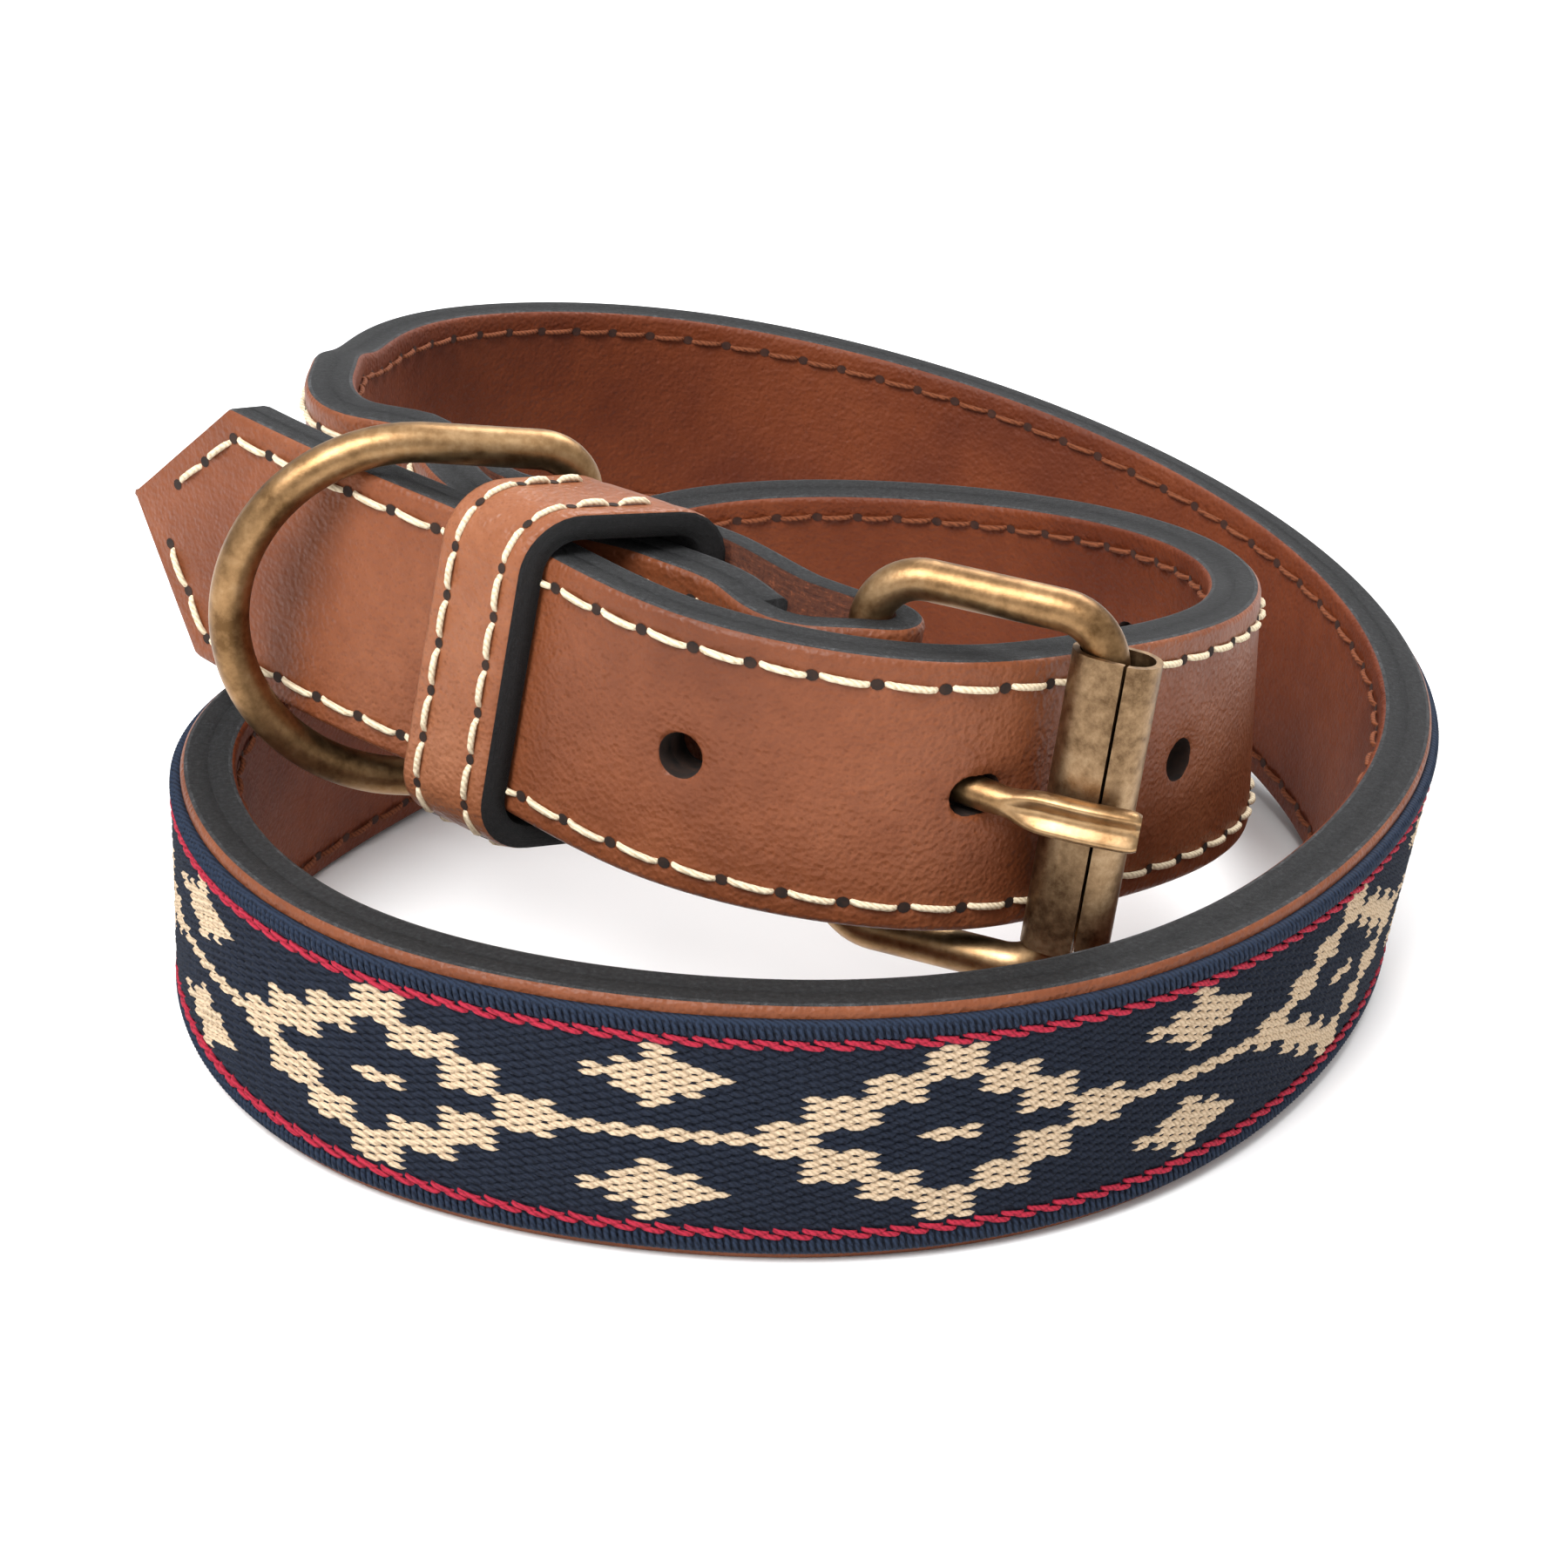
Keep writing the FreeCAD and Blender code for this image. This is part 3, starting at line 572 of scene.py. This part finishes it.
# Middle line of the prong: along the buckle from its bar, and out from its frame.
PRONG_LINE = [(2.0, 2.0), (6, 2.3), (10, 2.9), (13.6, 3.8), (17, 4.6), (20, 4.85), (23, 4.8),
              (27, 4.3)]
PRONG_RADIUS, FLAT_FROM, FLAT_OVER, GROOVE_DEPTH = 1.45, 14.5, 4.5, 1.15
PINCH, PINCH_AT, PINCH_OVER = 0.16, 15.6, 1.3


def in_frame(along=0.0, out=0.0, up=0.0):
    return bar_middle + frame_along * along + frame_out * out + frame_up * up


def smooth_line(points, steps):
    """Even steps along a smooth curve through the points."""
    points = np.array(points, dtype=float)
    fine = np.linspace(0, len(points) - 1, steps)
    slope = np.gradient(points, axis=0)
    i = np.clip(fine.astype(int), 0, len(points) - 2)
    u = (fine - i)[:, None]
    return ((2 * u ** 3 - 3 * u ** 2 + 1) * points[i] + (u ** 3 - 2 * u ** 2 + u) * slope[i]
            + (3 * u ** 2 - 2 * u ** 3) * points[i + 1] + (u ** 3 - u ** 2) * slope[i + 1])


def prong_points(lift, steps=14):
    """The prong's middle line, lifted by some degrees."""
    a = math.radians(lift)
    line = smooth_line(PRONG_LINE, steps)
    return np.array([in_frame(x * math.cos(a) - y * math.sin(a), y * math.cos(a) + x * math.sin(a))
                     for x, y in line])


def prong_cutters():
    """Room in the leather for the prong, held where it is and lifted."""
    # The cutters carry the painted shade for the walls of the prong's hole and slot.
    made = [tube("prong_cutter", prong_points(lift), PRONG_CUTTER_RADIUS, PAINTED_SHADE, 16)
            for lift in PRONG_SWINGS]
    line = [in_frame(2.5, out) for out in np.linspace(-4.2, 5.0, 5)]
    made.append(tube("slot_cutter", line, SLOT_CUTTER_RADIUS, PAINTED_SHADE, 4))
    return made


# ---- threads ------------------------------------------------------------------------------------
def stitches(name, starts, ends, normals, material, radius=0.36, sink=0.35, rise=0.34, sides=7):
    """Stitches, each a bowed thread whose two ends dip into the leather."""
    share = np.array([0.0, 0.06, 0.2, 0.5, 0.8, 0.94, 1.0])
    height = np.array([-sink, 0.0, rise * 0.8, rise, rise * 0.8, 0.0, -sink])
    swell = np.array([0.75, 0.9, 1.0, 1.05, 1.0, 0.9, 0.75])
    turn = np.linspace(0, 2 * math.pi, sides, endpoint=False)
    points, faces = [], []
    for a, b, n in zip(starts, ends, normals):
        run = unit(b - a)
        across = unit(np.cross(run, n))
        base = len(points)
        for f, h, w in zip(share, height, swell):
            centre = a + (b - a) * f + n * h
            for t in turn:
                points.append(centre + (across * math.cos(t) + n * math.sin(t)) * radius * w)
        rings = len(share)
        for i in range(rings - 1):
            for k in range(sides):
                j = (k + 1) % sides
                faces.append((base + i * sides + k, base + i * sides + j,
                              base + (i + 1) * sides + j, base + (i + 1) * sides + k))
        faces.append(tuple(base + k for k in range(sides - 1, -1, -1)))
        faces.append(tuple(base + (rings - 1) * sides + k for k in range(sides)))
    return add_mesh(name, points, faces, [material])


def row_on_strap(path, face, pitch, length, slant=0.0, jitter=0.0):
    """Ends and normals of stitches along a path of (distance, height) on a face of the strap."""
    path = np.array(path, dtype=float)
    run = np.concatenate([[0], np.cumsum(np.linalg.norm(np.diff(path, axis=0), axis=1))])
    starts = np.arange(0, run[-1] - length, pitch)
    starts = starts + rng.normal(0, jitter, len(starts))
    def at(d, up):
        s, t = np.interp(d, run, path[:, 0]), np.interp(d, run, path[:, 1])
        places = Places(s)
        return places.point(face, t + up), places.out * math.copysign(1, face)
    first, n1 = at(starts, -slant)
    last, n2 = at(starts + length, slant)
    return first, last, unit(n1 + n2)


def thread_rows(name, node, paths, face, material, pitch=STITCH, length=4.1, slant=0.12,
                radius=CREAM_RADIUS, **more):
    sets = [row_on_strap(path, face, pitch, length, slant, 0.08) for path in paths]
    joined = [np.concatenate(x) for x in zip(*sets)]
    piece = stitches(name, *joined, material, radius, **more)
    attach(piece, "strap")
    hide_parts(node)
    # Dark discs of painted shade go in the pits between the stitches.
    pit_shade_discs(name + "_pit_shade", paths, face, pitch, length, PAINTED_SHADE if material == CREAM else PIT_SHADE)


def pit_shade_discs(name, paths, face, pitch, length, material):
    """Painted shade: small dark discs on the dents between stitches where the thread goes through."""
    points, faces = [], []
    for path in paths:
        path = np.array(path, dtype=float)
        run = np.concatenate([[0], np.cumsum(np.linalg.norm(np.diff(path, axis=0), axis=1))])
        mids = np.arange(0, run[-1] - length, pitch) + length + (pitch - length) / 2
        places = Places(np.interp(mids, run, path[:, 0]))
        centre = places.point(face + math.copysign(0.035, face), np.interp(mids, run, path[:, 1]))
        for c, up, along in zip(centre, places.up, places.along):
            base = len(points)
            for t in np.linspace(0, 2 * math.pi, 10, endpoint=False):
                points.append(c + up * math.cos(t) * 0.52 + along * math.sin(t) * 0.62)
            faces.append(tuple(range(base, base + 10)))
    piece = add_mesh(name, points, faces, [material])
    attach(piece, "strap")


def all_threads():
    tip = TIP_AT + TIP_LENGTH
    rows = [[(BAND_END + 4, side * ROW), (TIP_AT - 1.5, side * ROW), (tip - 4.0, side * 0.6)]
            for side in (1, -1)]
    thread_rows("cream_billet_stitches", "billet_stitching", rows, PLY, CREAM)
    rows = [[(LINING_START + 3, side * ROW), (BAND_START - 2, side * ROW)] for side in (1, -1)]
    thread_rows("cream_buckle_end_stitches", "buckle_end_stitching", rows, PLY, CREAM)
    rows = [[(62, side * ROW), (TIP_AT - 1.5, side * ROW)] for side in (1, -1)]
    thread_rows("brown_lining_stitches", "lining_stitching", rows, -PLY, BROWN, radius=BROWN_RADIUS)
    rows = [[(52, side * ROW), (59, side * ROW)] for side in (1, -1)]
    thread_rows("brown_fold_stitches", "fold_stitching", rows, -FOLD_DEPTH - PLY / 2, BROWN,
                pitch=3.6, length=3)


# ---- woven band ---------------------------------------------------------------------------------
FLOAT_PITCH, FLOAT_RISE = 2.4, 0.80      # along and across the band
FLOAT_HALF_LENGTH, FLOAT_HALF_HEIGHT, FLOAT_DOME = 1.10, 0.32, 0.40
RIB_PITCH, RIB_RADIUS = 0.62, 0.25
RED_PITCH, RED_LENGTH, RED_APART, RED_SLANT = 2.4, 2.1, 0.20, 0.16
PERIOD = 48.2                # from one diamond of the pattern to the next
FIRST_DIAMOND = 131.3


def is_cream(x, y):
    """The woven pattern: stepped diamonds joined by a line, with stepped crosses between."""
    x = (x - FIRST_DIAMOND + PERIOD / 2) % PERIOD - PERIOD / 2
    ax, ay = abs(x), abs(y)
    outer = any(ax < 2.7 + 4.35 * k and ay < 8.7 - 2.3 * k for k in range(4))
    inner = any(ax < 2.0 + 4.3 * k and ay < 5.5 - 2.2 * k for k in range(3))
    if outer:
        return not inner or (ax < 2.6 and ay < 0.75)
    if ay < 0.75:
        return True
    cx, cy = PERIOD / 2 - ax, abs(ay - 5.6)
    return (cx < 6.3 and cy < 0.7) or (cx < 3.4 and cy < 1.6) or (cx < 1.4 and cy < 3.0)


def woven_band():
    s = np.linspace(BAND_START, BAND_END, 300)
    places = Places(s)
    h = BAND_HALF
    outline = [(PLY, -h), (PLY + 0.55, -h), (PLY + 0.75, -h + 0.3), (PLY + 0.55, -RED_ROW),
               (PLY + 0.5, 0), (PLY + 0.55, RED_ROW), (PLY + 0.75, h - 0.3), (PLY + 0.55, h), (PLY, h)]
    slots = [1, 1, 0, 0, 0, 0, 1, 1, 1]
    base = swept("band_ground", places.middle, places.out, places.up, s, outline,
                 [NAVY_YARN, SELVAGE], slots)
    fix_normals(base)
    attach(base, "strap")
    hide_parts("woven_band")
    centres, tones = [], []
    rows = int((RED_ROW - 0.6) / (FLOAT_RISE / 2))
    for j in range(-rows, rows + 1):
        y = j * FLOAT_RISE / 2
        offset = (j % 2) * FLOAT_PITCH / 2
        x = np.arange(BAND_START + 1.6 + offset, BAND_END - 1.6, FLOAT_PITCH)
        centres.append(np.stack([x, np.full_like(x, y)], axis=1))
        tones.append([int(is_cream(a, y)) for a in x])
    centres, tones = np.concatenate(centres), np.concatenate(tones)
    floats("band_floats", centres, tones)
    ribs = []
    for side in (1, -1):
        for x in np.arange(BAND_START + 0.3, BAND_END - 0.3, RIB_PITCH):
            ribs.append((x, side * (h - 0.90)))
    ribs = np.array(ribs)
    selvage("band_selvage", ribs)


def floats(name, centres, tones):
    """Lens-shaped floats of yarn, each a low dome on the band's ground."""
    places = Places(centres[:, 0])
    level = PLY + 0.50
    wobble = rng.normal(0, 0.03, (len(centres), 3))
    shape = [(-1, 0, 0), (-0.45, 0.8, 0.15), (0.45, 0.8, 0.15), (1, 0, 0), (0.45, -0.8, 0.15),
             (-0.45, -0.8, 0.15), (-0.5, 0, 1.0), (0.5, 0, 1.0)]
    rings = []
    for a, b, c in shape:
        length = FLOAT_HALF_LENGTH * (1 + wobble[:, 0])
        x, y = a * length, b * FLOAT_HALF_HEIGHT * 1.2
        z = level + FLOAT_DOME * c * (1 + 2 * wobble[:, 1])
        rings.append(places.point(z, centres[:, 1] + y + wobble[:, 2], x))
    points = np.stack(rings, axis=1).reshape(-1, 3)
    quads = [(1, 6, 7, 2), (6, 5, 4, 7)]
    triangles = [(0, 6, 1), (0, 5, 6), (2, 7, 3), (7, 4, 3)]
    faces, indices = [], []
    for i, tone in enumerate(tones):
        for face in quads + triangles:
            faces.append(tuple(8 * i + k for k in face))
            indices.append(tone)
    piece = add_mesh(name, points, faces, [NAVY_YARN, CREAM_YARN], indices)
    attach(piece, "strap")


def selvage(name, ribs):
    """The band's bound edges: short ribs of yarn across each."""
    places = Places(ribs[:, 0])
    lean = 0.18
    ends = [places.point(PLY + 0.55, ribs[:, 1] + side * 0.85, lean * side) for side in (-1, 1)]
    piece = stitches(name, ends[0], ends[1], places.out, SELVAGE, RIB_RADIUS,
                     sink=0.05, rise=0.24, sides=5)
    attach(piece, "strap")


def red_threads():
    """Two strands of red thread that wind past each other along each side of the band."""
    sets = []
    for side in (1, -1):
        for strand in (0, 1):
            s = np.arange(BAND_START + 1 + strand * RED_PITCH / 2, BAND_END - 4, RED_PITCH)
            offset = RED_APART * (1 if strand else -1)
            first, last = Places(s), Places(s + RED_LENGTH)
            face = PLY + 0.62
            sets.append((first.point(face, side * RED_ROW + offset - RED_SLANT),
                         last.point(face, side * RED_ROW + offset + RED_SLANT), first.out))
    joined = [np.concatenate(x) for x in zip(*sets)]
    piece = stitches("red_band_stitches", *joined, RED, RED_RADIUS, sink=0.12, rise=0.20)
    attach(piece, "strap")
    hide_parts("band_stitching")


# ---- keeper -------------------------------------------------------------------------------------
def behind_middle(place):
    s = np.arange(16, 60, 0.25)
    places = Places(s)
    gap = np.abs((places.middle - place.middle) @ place.along[0])
    return Places(s[np.argmin(gap)])


def keeper_run(distance, inset):
    """The keeper's outline at one edge, from one tucked-in end round the front to the other."""
    place = Places(distance)
    behind = behind_middle(Places(distance - KEEPER_SKEW))
    drop = float((behind.middle - place.middle)[0] @ place.up[0]) / 2
    whole = PLY + KEEPER_GAP + KEEPER_THICK
    front = whole - inset
    points = []
    for side in (-1, 1):
        back_point = behind.point(-PLY, side * (KEEPER_HALF - KEEPER_FLAP / 2)) - place.middle
        back = float(back_point[0] @ place.out[0]) - KEEPER_BACK_GAP - KEEPER_THICK + inset
        h, r = KEEPER_HALF - inset, KEEPER_CORNER - inset
        run = [(back, KEEPER_HALF - KEEPER_FLAP), (back, (KEEPER_HALF - KEEPER_FLAP + h - r) / 2)]
        for turn in range(0, 91, 15):
            a = math.radians(turn)
            run.append((back + r - r * math.cos(a), h - r + r * math.sin(a)))
        run += [(back + r + (front - back - 2 * r) * f, h) for f in (0.33, 0.67)]
        for turn in range(90, -1, -10):
            a = math.radians(turn)
            run.append((front - r + r * math.cos(a), h - r + r * math.sin(a)))
        run += [(front, (h - r) * f) for f in (0.8, 0.6, 0.4, 0.2)]
        run = [(o, side * u) for o, u in run]
        points += run if side < 0 else [(front, 0.0)] + run[::-1]
    return np.array([place.point(o, u + drop, (o - whole) / KEEPER_DEPTH * KEEPER_SKEW)[0]
                     for o, u in points])


def keeper():
    """The loop that holds the billet, with its stitches and painted shade in their pits."""
    roll = 0.5
    outer = [keeper_run(KEEPER_FROM, 0), keeper_run(KEEPER_TO, 0)]
    inner = [keeper_run(KEEPER_FROM, KEEPER_THICK), keeper_run(KEEPER_TO, KEEPER_THICK)]
    width = KEEPER_TO - KEEPER_FROM
    section, slots = [], []
    for w in np.linspace(roll / width, 1 - roll / width, 13):
        across = (w - 0.5) * width
        groove = 0.06 * math.exp(-((abs(across) - 3.0) / 0.45) ** 2)
        section.append((w, groove / KEEPER_THICK))
        slots.append(0)
    section += [(1 - 0.15 * roll / width, 0.3 * roll / KEEPER_THICK), (1, roll / KEEPER_THICK),
                (1, 0.5), (1, 1), (0, 1), (0, 0.5), (0, roll / KEEPER_THICK),
                (0.15 * roll / width, 0.3 * roll / KEEPER_THICK)]
    slots += [1, 1, 1, 2, 1, 1, 1, 0]
    n, m = len(outer[0]), len(section)
    points = []
    for i in range(n):
        for w, d in section:
            a = outer[0][i] * (1 - d) + inner[0][i] * d
            b = outer[1][i] * (1 - d) + inner[1][i] * d
            points.append(a * (1 - w) + b * w)
    faces, indices = [], []
    for i in range(n - 1):
        for k in range(m):
            j = (k + 1) % m
            faces.append((i * m + k, i * m + j, (i + 1) * m + j, (i + 1) * m + k))
            indices.append(slots[k])
    faces += [tuple(range(m)), tuple((n - 1) * m + k for k in range(m))]
    indices += [1, 1]
    run = np.concatenate([[0], np.cumsum(np.linalg.norm(np.diff(outer[0], axis=0), axis=1))])
    uv = np.array([(run[i], w * width + 6 * d) for i in range(n) for w, d in section])
    piece = add_mesh("keeper_band", points, faces, [KEEPER_GRAIN, KEEPER_EDGE, KEEPER_EDGE],
                     indices, uv)
    fix_normals(piece)
    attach(piece, "strap")
    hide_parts("keeper_loop")
    rows = []
    for share in (0.20, 0.80):
        line = outer[0] * (1 - share) + outer[1] * share
        other = outer[0] * (0.9 - share) + outer[1] * (0.1 + share)
        rows.append((line, run, other))
    starts, ends, normals = [], [], []
    for line, run, other in rows:
        at = np.arange(KEEPER_PLAIN_END, run[-1] - KEEPER_PLAIN_END, KEEPER_STITCH)
        def pick(d):
            return np.stack([np.interp(d, run, line[:, k]) for k in range(3)], axis=1)
        a, b = pick(at), pick(at + KEEPER_STITCH_LENGTH)
        across = np.stack([np.interp(at, run, (other - line)[:, k]) for k in range(3)], axis=1)
        normal = unit(np.cross(b - a, across))
        middle = np.mean(outer[0], axis=0)
        flip = np.sign(np.sum(normal * (a - middle), axis=1, keepdims=True))
        starts.append(a)
        ends.append(b)
        normals.append(normal * flip)
    piece = stitches("cream_keeper_stitches", np.concatenate(starts), np.concatenate(ends),
                     np.concatenate(normals), CREAM, KEEPER_THREAD_RADIUS)
    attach(piece, "strap")
    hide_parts("keeper_stitching")
    # Dark discs of painted shade in the pits between the keeper's stitches.
    points, faces = [], []
    for a, b, n in zip(starts, ends, normals):
        for here, there, up in zip(b[:-1], a[1:], n[1:]):
            run = unit(there - here)
            across = np.cross(run, up)
            base = len(points)
            for t in np.linspace(0, 2 * math.pi, 10, endpoint=False):
                points.append((here + there) / 2 + up * 0.05 + across * math.cos(t) * 0.45
                              + run * math.sin(t) * 0.5)
            faces.append(tuple(range(base, base + 10)))
    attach(add_mesh("keeper_stitch_pit_shade", points, faces, [PAINTED_SHADE]), "strap")


# ---- metal --------------------------------------------------------------------------------------
def paint(node, material):
    piece = frame["nodes"][node]
    piece.data.materials.clear()
    piece.data.materials.append(material)


def prong():
    """The tongue: a round shank that is pinched, then flattened into a grooved end."""
    reach = np.linspace(0, 1, 61)
    line = smooth_line(PRONG_LINE, 61)
    middle = np.array([in_frame(x, y) for x, y in line])
    along = unit(np.gradient(middle, axis=0))
    up = np.repeat(frame_up[None], len(line), axis=0)
    out = unit(np.cross(up, along))
    out *= np.sign(out @ frame_out)[:, None]
    flat = np.clip((line[:, 0] - FLAT_FROM) / FLAT_OVER, 0, 1)
    flat = flat * flat * (3 - 2 * flat)
    pinch = PINCH * np.exp(-((line[:, 0] - PINCH_AT) / PINCH_OVER) ** 2)
    wide = PRONG_RADIUS + 0.42 * flat - pinch
    thick = PRONG_RADIUS - 0.22 * flat - pinch
    end = np.clip((reach - 0.965) / 0.035, 0, 1)
    wide, thick = wide - 0.25 * end ** 2, thick - 0.25 * end ** 2
    turn = np.linspace(0, 2 * math.pi, 36, endpoint=False)
    square = 1 - 0.28 * flat[:, None]
    c, sn = np.cos(turn)[None], np.sin(turn)[None]
    x = np.sign(c) * np.abs(c) ** square * wide[:, None]
    y = np.sign(sn) * np.abs(sn) ** square * thick[:, None]
    notch = GROOVE_DEPTH * flat[:, None] * np.clip(1 - np.abs(x) / (0.72 * wide[:, None]), 0, 1)
    y = y - np.where(y > 0, notch, 0)
    points = middle[:, None] + up[:, None] * x[:, :, None] + out[:, None] * y[:, :, None]
    n, m = x.shape
    faces = [(i * m + k, i * m + (k + 1) % m, (i + 1) * m + (k + 1) % m, (i + 1) * m + k)
             for i in range(n - 1) for k in range(m)]
    faces += [tuple(range(m - 1, -1, -1)), tuple((n - 1) * m + k for k in range(m))]
    shank = add_mesh("prong_shank", points.reshape(-1, 3), faces, [BRASS])
    fix_normals(shank)
    section = [(1.95, -2.0), (3.0, -2.0), (3.2, -1.9), (3.33, -1.6), (3.33, 1.6), (3.2, 1.9),
               (3.0, 2.0), (1.95, 2.0)]
    turn = np.linspace(0, 2 * math.pi, 49)[:-1]
    points = [in_frame(r * math.cos(t), r * math.sin(t), z) for t in turn for r, z in section]
    m = len(section)
    faces = [(i * m + k, i * m + (k + 1) % m, (i + 1) % 48 * m + (k + 1) % m, (i + 1) % 48 * m + k)
             for i in range(48) for k in range(m)]
    eye = add_mesh("prong_eye", points, faces, [BRASS])
    fix_normals(eye)
    for piece in (shank, eye):
        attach(piece, "prong")
        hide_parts("buckle_prong")


def metal():
    for node in ("buckle_frame", "d_ring"):
        paint(node, BRASS)
    paint("buckle_roller", ROLLED)
    prong()


# ---- scene --------------------------------------------------------------------------------------
CAMERA_PLACE = (-1.4, -295.86, 152.07)
CAMERA_TILT, CAMERA_ROLL, CAMERA_LENS = 25.638, 3.1095, 71.5
FLOOR_REACH = 4.0            # metres


def floor():
    size = FLOOR_REACH
    mesh = bpy.data.meshes.new("floor")
    mesh.from_pydata([(-size, -size, 0), (size, -size, 0), (size, size, 0), (-size, size, 0)], [],
                     [(0, 1, 2, 3)])
    n = Nodes("pale_floor", 0.9)
    tone = n.ramp(n.noise(n.place, 3), [(0.3, (0.90, 0.90, 0.90)), (0.7, (0.94, 0.94, 0.94))])
    mesh.materials.append(n.finish(tone))
    piece = bpy.data.objects.new("floor", mesh)
    bpy.context.scene.collection.objects.link(piece)


def lamp(name, place, aim, size, power):
    data = bpy.data.lights.new(name, "AREA")
    data.shape = "DISK"
    data.size = size
    data.energy = power
    lamp_object = bpy.data.objects.new(name, data)
    lamp_object.location = place
    direction = Vector(aim) - Vector(place)
    lamp_object.rotation_euler = direction.to_track_quat("-Z", "Y").to_euler()
    bpy.context.scene.collection.objects.link(lamp_object)


def lights():
    world = bpy.data.worlds.new("studio")
    world.use_nodes = True
    tree = world.node_tree
    sky = tree.nodes["Background"]
    direction = tree.nodes.new("ShaderNodeTexCoord").outputs["Generated"]
    split = tree.nodes.new("ShaderNodeSeparateXYZ")
    ramp = tree.nodes.new("ShaderNodeValToRGB")
    tree.links.new(direction, split.inputs[0])
    tree.links.new(split.outputs["Z"], ramp.inputs["Fac"])
    tree.links.new(ramp.outputs["Color"], sky.inputs["Color"])
    low, high = ramp.color_ramp.elements
    low.position, low.color = 0.0, (0.42, 0.42, 0.43, 1)
    high.position, high.color = 0.75, (1, 1, 1, 1)
    sky.inputs["Strength"].default_value = 1.0
    bpy.context.scene.world = world
    middle = (0, 0, 0.03)
    lamp("key", place=(-0.30, -0.45, 0.70), aim=middle, size=0.5, power=9)
    lamp("back", place=(0.25, 0.55, 0.70), aim=middle, size=0.5, power=6)
    bpy.context.scene.view_settings.view_transform = "Standard"


def camera():
    """The photograph's viewpoint: level heading along +Y, tilted down and rolled a little."""
    tilt, roll = math.radians(CAMERA_TILT), math.radians(CAMERA_ROLL)
    right, up = np.array([1.0, 0, 0]), np.array([0, math.sin(tilt), math.cos(tilt)])
    x = right * math.cos(roll) + up * math.sin(roll)
    y = -right * math.sin(roll) + up * math.cos(roll)
    z = np.cross(x, y)
    data = bpy.data.cameras.new("camera")
    data.sensor_width = 36
    data.lens = CAMERA_LENS
    data.clip_start = 0.01
    eye = bpy.data.objects.new("camera", data)
    place = np.array(CAMERA_PLACE) * MM
    eye.matrix_world = Matrix([(x[i], y[i], z[i], place[i]) for i in range(3)] + [(0, 0, 0, 1)])
    bpy.context.scene.collection.objects.link(eye)
    bpy.context.scene.camera = eye


strap_pieces()
all_threads()
woven_band()
red_threads()
keeper()
metal()
floor()
lights()
camera()
